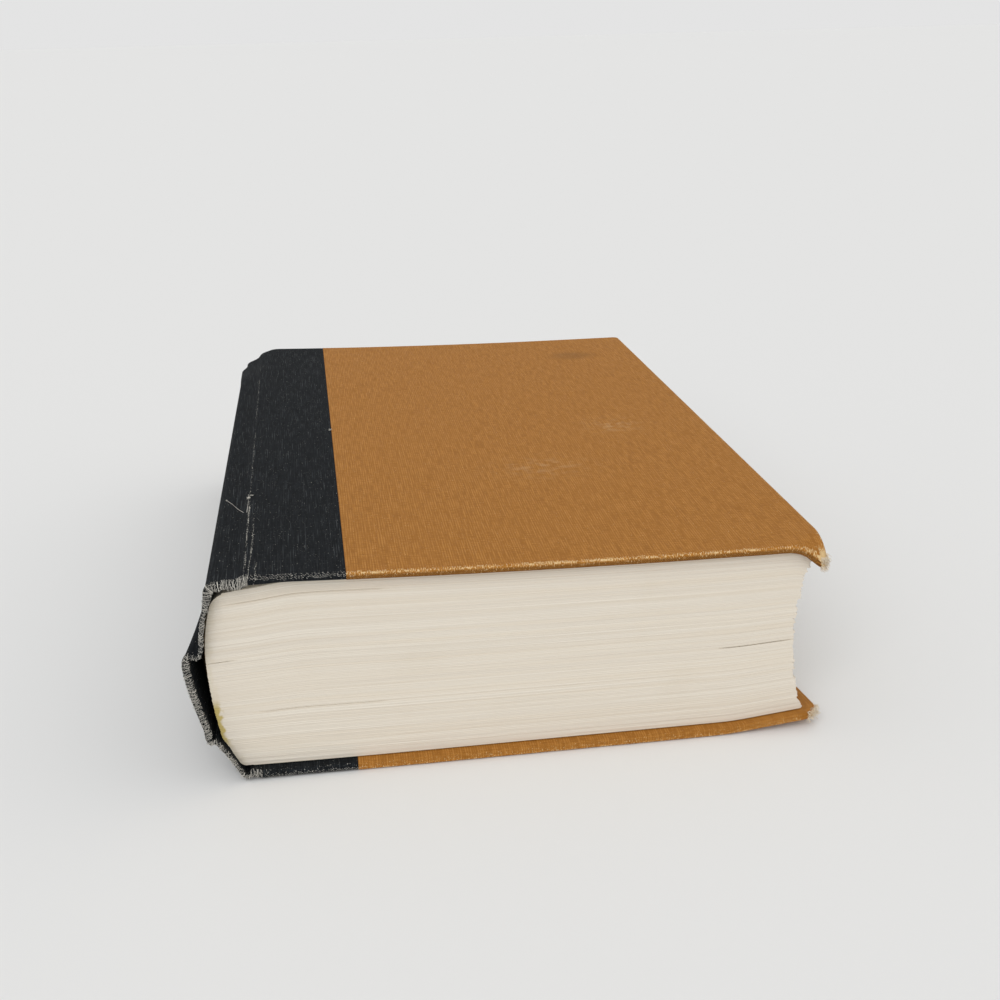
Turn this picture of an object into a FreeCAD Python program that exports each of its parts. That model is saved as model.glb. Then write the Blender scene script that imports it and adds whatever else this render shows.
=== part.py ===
import FreeCAD, Part
import math
import os

from FreeCAD import Vector

# A quarter-bound hardback book lying closed on its back cover.
# X runs from the spine to the fore-edge, Y from the tail to the head, and Z up.
# The origin is under the middle of the closed book, on the surface that it lies on.
# All lengths are in millimetres and all angles in degrees.

# Boards, cloth and paper
board_width = 143.6
board_height = 234.4
board_thickness = 1.4
board_edge_x = -63.9
cloth_thickness = 0.28
paper_thickness = 0.15
mull_thickness = 0.12
quarter_width = 24.0
turn_in = 15.0
mull_reach = 25.0
pastedown_margin = 3.8
pastedown_end_margin = 3.5

# Form of the front cover: it curls up towards the spine, and its tail corner is bumped
front_slope = 0.3
front_fore_height = 49.82
front_bow_length = 119.0
front_bow_radius = 2940.0
front_bump_distance = 8.0
front_bump_radius = 5.5
front_bump_angle = 50.0
front_tip_rounding = 3.0
front_joint_width = 5.5

# Form of the back cover, which is nearly flat, with its tail corner turned up
back_bow_length = 44.0
back_bow_radius = -3000.0
back_bump_distance = 21.0
back_bump_radius = 40.0
back_bump_angle = 8.5
back_tip_rounding = 4.6
back_joint_width = 3.0

head_rounding = 1.4
joint_ramp = 1.7
hinge_gap = 0.4
joint_paper_setback = 0.8
hinge_step = 0.3

# Text block
leaf_height = 229.0
leaf_clearance = 0.15
fore_top_x = 77.1
fore_middle_x = 72.7
fore_bottom_x = 75.7
fore_top_z = 48.5
fore_middle_z = 24.0
fore_bottom_z = 2.5
spine_apex_x = -74.8
spine_apex_z = 31.5
spine_upper_radius = 54.0
spine_lower_radius = 105.0
spine_skew = 2.6
shoulder_z = 49.2
shoulder_rounding = 3.0
shoulder_dip_start = 11.0
shoulder_dip_x = -61.9
shoulder_dip_z = 50.2
lower_shoulder_z = 10.8
lower_shoulder_run = 4.4
lower_rounding = 1.2
gutter_x = -67.0

# Linings of the spine
spine_mull_thickness = 0.25
spine_lining_thickness = 0.25
lining_setback = 4.0
lining_top_z = 45.2
lining_bottom_z = 11.2

# Spine cloth and the card strip inside it
inlay_top_z = 33.5
inlay_bottom_z = 13.0
inlay_thickness = 0.6
inlay_clearance = 0.06
inlay_end_setback = 0.9
inlay_draw_back = 0.3
tail_flare_length = 62.0
head_flare_length = 45.0
head_flare_share = 0.3

# Sizes that follow from those above
cover_height = board_height + 2 * cloth_thickness
half_cover = cover_height / 2
half_board = board_height / 2
half_pastedown = half_board - pastedown_end_margin
half_leaf = leaf_height / 2
tail_y = -half_cover
stack_inside = cloth_thickness + paper_thickness
leaf_face = stack_inside + leaf_clearance
block_face = leaf_face + paper_thickness
far = 20.0
tall = 60.0


class CoverForm:
    """The curved sheet that a cover follows, in the cover's own frame.

    There x is 0 at the board's spine-side edge, z is 0 on the board's inner face near
    the fore-edge and grows outwards, and the tail is at negative y.
    """

    def __init__(self, bow_length, bow_radius, bump, radius, angle, tip, joint):
        self.bow_length = bow_length
        self.bow_radius = bow_radius
        self.bump = bump
        self.radius = radius
        self.angle = math.radians(angle)
        self.tip = tip
        self.joint = joint

    def bow_point(self, x, offset):
        """A point of the sheet at x, at an offset outwards from the board's inner face."""
        run = min(max(self.bow_length - x, 0.0), self.bow_length)
        turn = run / abs(self.bow_radius)
        side = math.copysign(1.0, self.bow_radius)
        base_x = self.bow_length - abs(self.bow_radius) * math.sin(turn)
        base_z = self.bow_radius * (1 - math.cos(turn))
        beyond = max(x - self.bow_length, 0.0) - max(-x, 0.0)
        lift = side * turn
        base_x += beyond * math.cos(lift)
        base_z -= beyond * math.sin(lift)
        return base_x + offset * math.sin(lift), base_z + offset * math.cos(lift)

    def bow_vector(self, x, offset, y):
        px, pz = self.bow_point(x, offset)
        return Vector(px, y, pz)


front_form = CoverForm(front_bow_length, front_bow_radius, front_bump_distance,
                       front_bump_radius, front_bump_angle, front_tip_rounding,
                       front_joint_width)
back_form = CoverForm(back_bow_length, back_bow_radius, back_bump_distance,
                      back_bump_radius, back_bump_angle, back_tip_rounding,
                      back_joint_width)


def line(a, b):
    return Part.LineSegment(a, b).toShape()


def arc(a, b, c):
    return Part.Arc(a, b, c).toShape()


def prism(points, direction):
    """A closed polygon pushed along a direction."""
    closed = list(points) + [points[0]]
    return Part.Face(Part.makePolygon(closed)).extrude(direction)


def bowed_slab(form, low, high):
    """The unbent sheet between two offsets: joint stretch, bow and flat fore stretch."""
    start = -half_cover - far
    ends = []
    for offset in (low, high):
        a = form.bow_vector(-2 * far, offset, start)
        b = form.bow_vector(0.0, offset, start)
        middle = form.bow_vector(form.bow_length / 2, offset, start)
        c = form.bow_vector(form.bow_length, offset, start)
        d = form.bow_vector(board_width + far, offset, start)
        ends.append((a, b, middle, c, d))
    (a1, b1, m1, c1, d1), (a2, b2, m2, c2, d2) = ends
    edges = [line(a1, b1), arc(b1, m1, c1), line(c1, d1), line(d1, d2)]
    edges += [line(d2, c2), arc(c2, m2, b2), line(b2, a2), line(a2, a1)]
    face = Part.Face(Part.Wire(edges))
    return face.extrude(Vector(0, cover_height + 2 * far, 0))


def crease_frame(form):
    """Where the bumped corner's crease lies: a point on it, its direction, and outwards."""
    corner = Vector(board_width + cloth_thickness, tail_y, 0)
    outward = Vector(1, -1, 0).normalize()
    along = Vector(1, 1, 0).normalize()
    return corner - outward * form.bump, along, outward


def bumped_corner(form, low, high):
    """The corner past the crease, bent inwards round an arc and then straight."""
    origin, along, outward = crease_frame(form)
    reach = form.bump + far
    start = origin - along * 2 * far

    def at(turn, offset, run):
        size = form.radius + offset
        out = size * math.sin(turn) + run * math.cos(turn)
        up = size * math.cos(turn) - form.radius - run * math.sin(turn)
        return start + outward * out + Vector(0, 0, up)

    full = form.angle
    edges = [arc(at(0, low, 0), at(full / 2, low, 0), at(full, low, 0)),
             line(at(full, low, 0), at(full, low, reach)),
             line(at(full, low, reach), at(full, high, reach)),
             line(at(full, high, reach), at(full, high, 0)),
             arc(at(full, high, 0), at(full / 2, high, 0), at(0, high, 0)),
             line(at(0, high, 0), at(0, low, 0))]
    return Part.Face(Part.Wire(edges)).extrude(along * 4 * far)


def sheet(form, low, high):
    """All of a cover's sheet between two offsets, bow and bumped corner included."""
    origin, along, outward = crease_frame(form)
    a = origin - along * 4 * far - Vector(0, 0, tall)
    b = origin + along * 4 * far - Vector(0, 0, tall)
    beyond = prism([a, b, b + outward * 4 * far, a + outward * 4 * far],
                   Vector(0, 0, 2 * tall))
    flat = bowed_slab(form, low, high).cut(beyond)
    return flat.fuse(bumped_corner(form, low, high)).removeSplitter()


def plan(x_from, x_to, half, tail_round=0.0, head_round=0.0):
    """An upright block with a cover's outline, rounded at its two fore-edge corners."""
    base = -tall

    def at(x, y):
        return Vector(x, y, base)

    edges = []
    slant = 1 - math.sqrt(0.5)
    last = at(x_from, -half)
    if tail_round > 0:
        a = at(x_to - tail_round, -half)
        b = at(x_to - tail_round * slant, -half + tail_round * slant)
        c = at(x_to, -half + tail_round)
        edges += [line(last, a), arc(a, b, c)]
        last = c
    else:
        edges.append(line(last, at(x_to, -half)))
        last = at(x_to, -half)
    if head_round > 0:
        a = at(x_to, half - head_round)
        b = at(x_to - head_round * slant, half - head_round * slant)
        c = at(x_to - head_round, half)
        edges += [line(last, a), arc(a, b, c)]
        last = c
    else:
        edges.append(line(last, at(x_to, half)))
        last = at(x_to, half)
    edges.append(line(last, at(x_from, half)))
    edges.append(line(at(x_from, half), at(x_from, -half)))
    return Part.Face(Part.Wire(edges)).extrude(Vector(0, 0, 2 * tall))


def past_edge(form):
    """All that lies on the fore-edge side of a cut square through the sheet at x = 0."""
    low = form.bow_vector(0, -far, -half_cover - far)
    high = form.bow_vector(0, far, -half_cover - far)
    across = Vector(board_width + 2 * far, 0, 0)
    return prism([low, low + across, high + across, high],
                 Vector(0, cover_height + 2 * far, 0))


def board(form):
    outline = plan(-far, board_width, half_board, form.tip, head_rounding)
    return sheet(form, 0, board_thickness).common(outline).common(past_edge(form))


def window():
    """The part of the board's inner face that no turned-in cloth covers."""
    return plan(-2 * far, board_width - turn_in, half_board - turn_in)


def turned_over(form, region, core):
    """Cloth laid over the board's outside and turned in round its edges."""
    skin = sheet(form, -cloth_thickness, board_thickness + cloth_thickness)
    inner = sheet(form, -2 * cloth_thickness, 0).common(window())
    return skin.common(region).cut(core).cut(inner)


def side_cloth(form, core):
    """The coloured cloth, from the quarter line to the fore-edge."""
    region = plan(quarter_width, board_width + cloth_thickness, half_cover,
                  form.tip + cloth_thickness, head_rounding + cloth_thickness)
    return turned_over(form, region, core)


def joint_section(form, points, half):
    """A polygon of (x, offset) pairs on the joint stretch, from tail to head."""
    corners = [form.bow_vector(x, offset, -half) for x, offset in points]
    return prism(corners, Vector(0, 2 * half, 0))


def joint_cloth(form, core):
    """The dark cloth on the board, stepping down past its edge to the hinge line."""
    region = plan(-far, quarter_width, half_cover).common(past_edge(form))
    on_board = turned_over(form, region, core)
    thick = cloth_thickness
    end = -form.joint + hinge_gap / 2
    strip = joint_section(form, [(0, board_thickness + thick), (0, -thick), (end, -thick),
                                 (end, thick), (-joint_ramp - thick / 2, thick)],
                          half_cover)
    hollow = joint_section(form, [(0, 0), (0, board_thickness), (-joint_ramp, 0)],
                           half_board)
    inside = sheet(form, -2 * thick, 0).common(window())
    strip = strip.cut(hollow).cut(inside)
    return on_board.fuse(strip).removeSplitter()


def mull_outline(form, grow):
    reach = half_board - turn_in - joint_paper_setback + grow
    return plan(-form.joint + joint_paper_setback, mull_reach + grow, reach)


def mull_wing(form):
    """The gauze flange glued to the board's inner face between the turn-ins."""
    return sheet(form, -mull_thickness, 0).common(mull_outline(form, 0))


def pastedown(form):
    """The endpaper leaf on the board, with the turn-ins and the gauze showing through."""
    outline = plan(-form.joint + joint_paper_setback, board_width - pastedown_margin,
                   half_pastedown)
    paper = sheet(form, -stack_inside, 0).common(outline)
    under_turn_in = sheet(form, -cloth_thickness, 2 * far).cut(window())
    inner = plan(-2 * far, board_width - turn_in - paper_thickness,
                 half_board - turn_in - paper_thickness)
    sunk = sheet(form, -far / 2, -paper_thickness).common(inner)
    gauze_bump = mull_outline(form, paper_thickness)
    over_gauze = sheet(form, -far / 2, -mull_thickness - paper_thickness).common(inner)
    paper = paper.cut(under_turn_in).cut(sunk.cut(gauze_bump)).cut(over_gauze)
    return paper.cut(mull_wing(form))


def seat_front(shape):
    """Moves a piece from the front cover's own frame onto the book."""
    shape = shape.copy()
    shape.rotate(Vector(0, 0, 0), Vector(0, 1, 0), front_slope)
    drop = front_bow_length * math.tan(math.radians(front_slope))
    shape.translate(Vector(board_edge_x, 0, front_fore_height + drop))
    return shape


def seat_back(shape):
    """Moves a piece from the back cover's own frame onto the book, inner face up."""
    shape = shape.mirror(Vector(0, 0, 0), Vector(0, 0, 1))
    shape.translate(Vector(board_edge_x, 0, board_thickness + cloth_thickness))
    return shape


def front_point(x, offset):
    """The place on the book of a point of the front cover's sheet."""
    px, pz = front_form.bow_point(x, offset)
    turn = math.radians(front_slope)
    drop = front_bow_length * math.tan(turn)
    return (board_edge_x + px * math.cos(turn) + pz * math.sin(turn),
            front_fore_height + drop - px * math.sin(turn) + pz * math.cos(turn))


def back_point(x, offset):
    """The place on the book of a point of the back cover's sheet."""
    px, pz = back_form.bow_point(x, offset)
    return board_edge_x + px, board_thickness + cloth_thickness - pz


front_hinge = front_point(-front_joint_width, cloth_thickness)
back_hinge = back_point(-back_joint_width, cloth_thickness)


def skew_at(y):
    """How far the spine has drifted towards the fore-edge at y."""
    return spine_skew * (y - tail_y) / cover_height


def spine_x(z, grow=0.0):
    """The block's rounded back at height z, before the drift, grown outwards."""
    radius = spine_upper_radius if z > spine_apex_z else spine_lower_radius
    size = radius + grow
    rise = z - spine_apex_z
    if z >= lower_shoulder_z:
        return spine_apex_x + radius - math.sqrt(size * size - rise * rise)
    foot = lower_shoulder_z - spine_apex_z
    edge = spine_apex_x + radius - math.sqrt(size * size - foot * foot)
    bottom = back_point(0, -block_face)[1]
    slant = lower_shoulder_run / (lower_shoulder_z - bottom)
    return edge + (lower_shoulder_z - z) * slant


def block_section(y):
    """The block's outline at y: fore-edge hollow, dipping shoulder, rounded back, foot."""
    drift = skew_at(y)
    top = tall
    low = -far

    def at(x, z):
        return Vector(x, y, z)

    dip_x, dip_z = front_point(shoulder_dip_start, -block_face)
    upper = at(spine_x(shoulder_z) + drift, shoulder_z)
    apex = at(spine_apex_x + drift, spine_apex_z)
    foot = at(spine_x(lower_shoulder_z) + drift, lower_shoulder_z)
    upper_middle_z = (shoulder_z + spine_apex_z) / 2
    lower_middle_z = (lower_shoulder_z + spine_apex_z) / 2
    bottom_z = back_point(0, -block_face)[1]
    bottom = at(spine_x(bottom_z) + drift, bottom_z)
    edges = [line(at(fore_top_x, top), at(dip_x, top)),
             line(at(dip_x, top), at(dip_x, dip_z)),
             line(at(dip_x, dip_z), at(shoulder_dip_x, shoulder_dip_z)),
             line(at(shoulder_dip_x, shoulder_dip_z), upper),
             arc(upper, at(spine_x(upper_middle_z) + drift, upper_middle_z), apex),
             arc(apex, at(spine_x(lower_middle_z) + drift, lower_middle_z), foot),
             line(foot, bottom),
             line(bottom, at(board_edge_x, bottom_z)),
             line(at(board_edge_x, bottom_z), at(board_edge_x, low)),
             line(at(board_edge_x, low), at(fore_bottom_x, low)),
             line(at(fore_bottom_x, low), at(fore_bottom_x, fore_bottom_z)),
             arc(at(fore_bottom_x, fore_bottom_z), at(fore_middle_x, fore_middle_z),
                 at(fore_top_x, fore_top_z)),
             line(at(fore_top_x, fore_top_z), at(fore_top_x, top))]
    return Part.Wire(edges)


def long_edges_near(shape, x, z):
    """The tail-to-head edges whose tail end lies near a point of the section."""
    found = []
    for edge in shape.Edges:
        ends = [vertex.Point for vertex in edge.Vertexes]
        if len(ends) == 2 and abs(ends[0].y - ends[1].y) > half_leaf:
            tail = min(ends, key=lambda point: point.y)
            if abs(tail.x - x) < 0.2 and abs(tail.z - z) < 0.2:
                found.append(edge)
    return found


def text_block():
    """All the leaves as one solid, pressed to the form of the two covers."""
    block = Part.makeLoft([block_section(-half_leaf), block_section(half_leaf)],
                          True, True)
    drift = skew_at(-half_leaf)
    corner = long_edges_near(block, spine_x(shoulder_z) + drift, shoulder_z)
    block = block.makeFillet(shoulder_rounding, corner)
    bottom_z = back_point(0, -block_face)[1]
    foot = long_edges_near(block, spine_x(bottom_z) + drift, bottom_z)
    block = block.makeFillet(lower_rounding, foot)
    above = seat_front(sheet(front_form, -block_face, 2 * far))
    below = seat_back(sheet(back_form, -block_face, 2 * far))
    return block.cut(above).cut(below)


def front_flyleaf():
    """The free endpaper: flat under the cover, then down the shoulder to the gutter."""
    dip_x, dip_z = front_point(shoulder_dip_start, -block_face)
    slope = (dip_z - shoulder_dip_z) / (dip_x - shoulder_dip_x)
    shoulder_x = spine_x(shoulder_z)
    back_slope = (shoulder_dip_z - shoulder_z) / (shoulder_dip_x - shoulder_x)
    overlap = 1.0
    points = [(dip_x + overlap, dip_z + overlap * slope),
              (shoulder_dip_x, shoulder_dip_z),
              (gutter_x, shoulder_dip_z + (gutter_x - shoulder_dip_x) * back_slope)]
    lower = [Vector(x, -half_leaf, z) for x, z in points]
    upper = [point + Vector(0, 0, paper_thickness) for point in reversed(lower)]
    slope_part = prism(lower + upper, Vector(0, leaf_height, 0))
    slope_part = slope_part.cut(seat_front(sheet(front_form, -leaf_face, 2 * far)))
    flat = seat_front(sheet(front_form, -block_face, -leaf_face))
    flat = flat.common(plan(dip_x, fore_top_x, half_leaf))
    return flat.fuse(slope_part).removeSplitter()


def back_flyleaf():
    """The free endpaper under the block."""
    flat = seat_back(sheet(back_form, -block_face, -leaf_face))
    return flat.common(plan(gutter_x + lower_rounding, fore_bottom_x, half_leaf))


def spine_layer(inner, outer):
    """A lining that follows the rounded back between two thicknesses."""
    wires = []
    for y in (-half_leaf + lining_setback, half_leaf - lining_setback):
        drift = skew_at(y)

        def at(z, grow):
            return Vector(spine_x(z, grow) + drift, y, z)

        above = (lining_top_z + spine_apex_z) / 2
        below = (lining_bottom_z + spine_apex_z) / 2
        edges = []
        heights = [lining_top_z, above, spine_apex_z, below, lining_bottom_z]
        a = [at(z, inner) for z in heights]
        b = [at(z, outer) for z in heights]
        edges = [arc(a[0], a[1], a[2]), arc(a[2], a[3], a[4]), line(a[4], b[4]),
                 arc(b[4], b[3], b[2]), arc(b[2], b[1], b[0]), line(b[0], a[0])]
        wires.append(Part.Wire(edges))
    return Part.makeLoft(wires, True, True)


# The course of the spine cloth from the front shoulder to the back one. Each row is a
# height and a distance from the block's back in the middle of the spine, and then the
# same two at the open tail end, where the cloth over the card strip stands away.
spine_course = [(50.4, 1.9, 50.4, 1.9),
                (47.4, 1.4, 47.4, 1.4),
                (42.0, 1.15, 42.0, 1.2),
                (38.8, 1.15, 38.8, 1.15),
                (37.0, 1.2, 36.4, 1.15),
                (35.9, 1.35, 34.6, 1.6),
                (35.0, 1.6, 35.0, 2.8),
                (34.1, 1.8, 35.3, 4.1),
                (33.0, 1.85, 34.2, 5.05),
                (31.0, 1.85, 31.0, 5.2),
                (24.5, 1.85, 24.5, 4.4),
                (19.7, 1.85, 19.7, 3.7),
                (15.6, 1.85, 14.8, 3.1),
                (13.4, 1.85, 12.2, 3.3),
                (12.0, 1.65, 10.7, 2.7),
                (10.9, 1.35, 11.1, 1.7),
                (9.6, 1.15, 10.0, 1.15),
                (7.2, 1.1, 7.2, 1.1),
                (4.6, 1.1, 4.6, 1.1)]
# How the cloth leaves the two hinge lines. Each row is a distance towards the spine, the
# share of the spine's drift at that place, and a step down (front) or up (back).
front_lead = [(0.0, 0.0, 0.0),
              (1.9, 0.6, 0.15),
              (3.3, 1.0, 1.05)]
back_lead = [(2.2, 0.7, 0.7),
             (1.0, 0.3, 0.05),
             (0.0, 0.0, 0.0)]


def flare_at(y):
    """How open the spine's hollow is at y: 1 at the tail, less at the head, 0 between."""
    from_tail = y - tail_y
    from_head = half_cover - y
    tail = max(0.0, 1 - from_tail / tail_flare_length) ** 2
    head = max(0.0, 1 - from_head / head_flare_length) ** 2
    return tail + head_flare_share * head


def smoothed(points):
    """The course with a point added in the middle of each span, on a smooth curve."""
    last = len(points) - 1
    finer = [points[0]]
    for i in range(last):
        (ax, az), (bx, bz) = points[i], points[i + 1]
        (px, pz), (qx, qz) = points[max(i - 1, 0)], points[min(i + 2, last)]
        finer.append(((9 * (ax + bx) - px - qx) / 16, (9 * (az + bz) - pz - qz) / 16))
        finer.append(points[i + 1])
    return finer


def spine_points(y):
    """The outer face of the spine cloth at y, from the front hinge to the back hinge."""
    drift = skew_at(y)
    open_share = flare_at(y)
    front_x, front_z = front_hinge
    back_x, back_z = back_hinge
    front_end = front_x - hinge_gap / 2
    back_end = back_x - hinge_gap / 2
    top = front_z - hinge_step
    bottom = back_z + hinge_step
    points = [(front_end - away + share * drift, top - step)
              for away, share, step in front_lead]
    for near_z, near_out, far_z, far_out in spine_course:
        z = near_z + open_share * (far_z - near_z)
        out = near_out + open_share * (far_out - near_out)
        points.append((spine_x(z) + drift - out, z))
    points += [(back_end - away + share * drift, bottom + step)
               for away, share, step in back_lead]
    return smoothed(points)


def inset(points, depths):
    """Moves each point of a course towards the block by its own depth."""
    moved = []
    last = len(points) - 1
    for i, (x, z) in enumerate(points):
        ax, az = points[max(i - 1, 0)]
        bx, bz = points[min(i + 1, last)]
        size = math.hypot(bx - ax, bz - az)
        moved.append((x - depths[i] * (bz - az) / size, z + depths[i] * (bx - ax) / size))
    return moved


def course_section(outer, inner, y):
    """A closed outline at y between two courses."""
    ring = [Vector(x, y, z) for x, z in outer + inner[::-1]]
    return Part.makePolygon(ring + ring[:1])


def card_range():
    """The first and last points of the smoothed course that lie over the card."""
    over = [i for i, row in enumerate(spine_course)
            if inlay_bottom_z <= row[0] <= inlay_top_z]
    return 2 * (len(front_lead) + over[0]), 2 * (len(front_lead) + over[-1])


def turned_depths(count):
    """Depth of cloth, card and turned-in cloth at each point of the course."""
    single = 2 * cloth_thickness
    full = single + inlay_thickness + 2 * inlay_clearance
    first, last = card_range()
    return [full if first <= i <= last else single for i in range(count)]


def spine_stations():
    """Places along the spine, closest together where it flares."""
    tail_part = [0.0, 0.12, 0.24, 0.4, 0.65, 1.0]
    head_part = [1.0, 0.62, 0.33, 0.0]
    tail = [tail_y + share * tail_flare_length for share in tail_part]
    head = [half_cover - share * head_flare_length for share in head_part]
    return tail, head


def loft_course(stations, depths_from, depths_to):
    """A layer between two depths below the cloth's outer face, along the spine."""
    wires = []
    for y in stations:
        points = spine_points(y)
        wires.append(course_section(inset(points, depths_from),
                                    inset(points, depths_to), y))
    return Part.makeLoft(wires, True, True)


def shortened(points, amount):
    """A course with its two ends drawn back along it."""
    ends = []
    for (ax, az), (bx, bz) in ((points[0], points[1]), (points[-1], points[-2])):
        share = amount / math.hypot(bx - ax, bz - az)
        ends.append((ax + share * (bx - ax), az + share * (bz - az)))
    return [ends[0]] + points[1:-1] + [ends[1]]


def card_layer(stations, low, high, draw_back):
    """A strip along the spine, as wide as the card, between two depths in the cloth."""
    wires = []
    first, last = card_range()
    for y in stations:
        points = spine_points(y)
        count = len(points)
        outer = inset(points, [low] * count)[first:last + 1]
        inner = inset(points, [high] * count)[first:last + 1]
        outer = shortened(outer, draw_back)
        inner = shortened(inner, draw_back)
        wires.append(course_section(outer, inner, y))
    return Part.makeLoft(wires, True, True)


def spine_inlay():
    """The card strip that stiffens the spine, inside the cloth."""
    tail, head = spine_stations()
    stations = [tail_y + inlay_end_setback] + tail[1:] + head[:-1]
    stations.append(half_cover - inlay_end_setback)
    near = cloth_thickness + inlay_clearance
    return card_layer(stations, near, near + inlay_thickness, inlay_draw_back)


def spine_cloth():
    """The dark cloth round the spine, turned in at tail and head over the card strip."""
    tail, head = spine_stations()
    count = len(spine_points(0))
    flat = [0.0] * count
    single = [cloth_thickness] * count
    double = turned_depths(count)
    tail_turn = tail_y + turn_in
    head_turn = half_cover - turn_in
    tail_end = [y for y in tail if y < tail_turn - 1] + [tail_turn]
    head_end = [head_turn] + [y for y in head if y > head_turn + 1]
    middle = [tail_turn] + [y for y in tail + head if tail_turn + 1 < y < head_turn - 1]
    middle = sorted(set(middle + [head_turn]))
    deep = cloth_thickness + inlay_thickness + 2 * inlay_clearance
    tail_pocket = [tail_y + cloth_thickness] + tail_end[1:-1] + [tail_turn + 1]
    head_pocket = [head_turn - 1] + head_end[1:-1] + [half_cover - cloth_thickness]
    tail_part = loft_course(tail_end, flat, double)
    tail_part = tail_part.cut(card_layer(tail_pocket, cloth_thickness, deep, 0.0))
    head_part = loft_course(head_end, flat, double)
    head_part = head_part.cut(card_layer(head_pocket, cloth_thickness, deep, 0.0))
    body = loft_course(middle, flat, single)
    return tail_part.fuse([body, head_part]).removeSplitter()


def make_cover(name, form, seat):
    core = board(form)
    pieces = {
        "board": core,
        "side_cloth": side_cloth(form, core),
        "joint_cloth": joint_cloth(form, core),
        "mull_wing": mull_wing(form),
        "pastedown": pastedown(form),
    }
    return {name + "_" + part: seat(shape) for part, shape in pieces.items()}


def main():
    os.makedirs("parts", exist_ok=True)
    pieces = {"text_block": text_block(),
              "front_flyleaf": front_flyleaf(),
              "back_flyleaf": back_flyleaf(),
              "spine_mull": spine_layer(0.0, spine_mull_thickness),
              "spine_lining": spine_layer(spine_mull_thickness,
                                          spine_mull_thickness + spine_lining_thickness),
              "spine_inlay": spine_inlay(),
              "spine_cloth": spine_cloth()}
    pieces.update(make_cover("front", front_form, seat_front))
    pieces.update(make_cover("back", back_form, seat_back))
    for name, shape in pieces.items():
        shape.exportStep("parts/" + name + ".step")
        box = shape.BoundBox
        print("%-18s solids %d valid %s volume %9.1f  x %7.2f %7.2f  y %8.2f %8.2f  z %6.2f %6.2f"
              % (name, len(shape.Solids), shape.isValid(), shape.Volume, box.XMin, box.XMax,
                 box.YMin, box.YMax, box.ZMin, box.ZMax))
    print("front hinge line", front_hinge, "back hinge line", back_hinge)


main()
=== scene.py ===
import math
from dataclasses import dataclass

import bmesh
import bpy
import numpy as np
from mathutils import Matrix, Vector


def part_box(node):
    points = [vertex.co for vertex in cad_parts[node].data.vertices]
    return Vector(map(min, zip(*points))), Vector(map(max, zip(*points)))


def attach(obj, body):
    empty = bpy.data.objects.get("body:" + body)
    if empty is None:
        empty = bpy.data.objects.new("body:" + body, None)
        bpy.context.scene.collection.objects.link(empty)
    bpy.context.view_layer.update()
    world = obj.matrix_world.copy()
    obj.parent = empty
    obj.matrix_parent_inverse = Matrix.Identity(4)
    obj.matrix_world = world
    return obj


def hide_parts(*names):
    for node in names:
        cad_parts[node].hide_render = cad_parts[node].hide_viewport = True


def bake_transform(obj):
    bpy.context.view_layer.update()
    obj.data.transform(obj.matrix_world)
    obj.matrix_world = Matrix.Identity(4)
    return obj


# The looks of a quarter-bound hardback book that lies closed on its back cover.
# Shapes are worked out in millimetres in the same frame as the CAD part: X from the
# spine to the fore-edge, Y from the tail to the head, Z up. They are turned into metres
# when a mesh is made.

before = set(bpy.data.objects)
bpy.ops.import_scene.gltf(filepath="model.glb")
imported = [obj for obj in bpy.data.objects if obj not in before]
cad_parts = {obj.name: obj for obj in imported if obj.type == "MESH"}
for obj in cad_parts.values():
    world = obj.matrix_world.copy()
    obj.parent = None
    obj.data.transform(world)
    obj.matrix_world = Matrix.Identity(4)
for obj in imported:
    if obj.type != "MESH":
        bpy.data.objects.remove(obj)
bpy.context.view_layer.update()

MM = 0.001


# Sizes that the looks share with the CAD part
def box_mm(node):
    """Lowest and highest corner of a CAD node, in millimetres."""
    low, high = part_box(node)
    return np.array(low) / MM, np.array(high) / MM


cloth_low, cloth_high = box_mm("front_side_cloth")
board_low, board_high = box_mm("back_board")
block_low, block_high = box_mm("text_block")

cloth = 0.28
board = 1.4
paper = 0.15
half_cover = (cloth_high[1] - cloth_low[1]) / 2
half_leaf = (block_high[1] - block_low[1]) / 2
edge_x = board_low[0]
cover_width = cloth_high[0] - edge_x
quarter = 24.0
turn_in = 15.0
block_face = cloth + 3 * paper
tail = -half_cover
# The front cover's slope, and its height by the fore-edge
front_slope = math.radians(0.3)
front_height = 49.82
# Where the joint and the spine begin to sag near the head, and where they sag fully
sag_span = (70, 117)

# The outline of the block of leaves in x and z
spine_apex = (-74.8, 31.5)
spine_upper_radius = 54.0
spine_lower_radius = 105.0
spine_skew = 2.6
shoulder = 49.2
shoulder_rounding = 3.0
dip_start = 11.0
dip_top = (-61.9, 50.2)
lower_shoulder = 10.8
lower_run = 4.4
fore_arc = ((77.1, 48.5), (72.7, 24.0), (75.7, 2.5))


def smooth(low, high, value):
    """0 below low, 1 above high, and an S-shaped rise between them."""
    t = np.clip((value - low) / (high - low), 0, 1)
    return t * t * (3 - 2 * t)


def bell(value, width):
    """1 at 0, falling to both sides as exp(-(value / width) squared)."""
    return np.exp(-(value / width) ** 2)


def unit(vectors):
    """The vectors of an array, each made one long."""
    return vectors / (np.linalg.norm(vectors, axis=-1, keepdims=True) + 1e-9)


def wander(place, spacing, seed):
    """Smooth random values from -1 to 1 along a line, one every spacing."""
    count = 4096
    values = np.random.default_rng(seed).uniform(-1, 1, count)
    at = np.asarray(place, float) / spacing + 1000
    low = np.floor(at).astype(int)
    t = at - low
    t = t * t * (3 - 2 * t)
    return values[low % count] * (1 - t) + values[(low + 1) % count] * t


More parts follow.
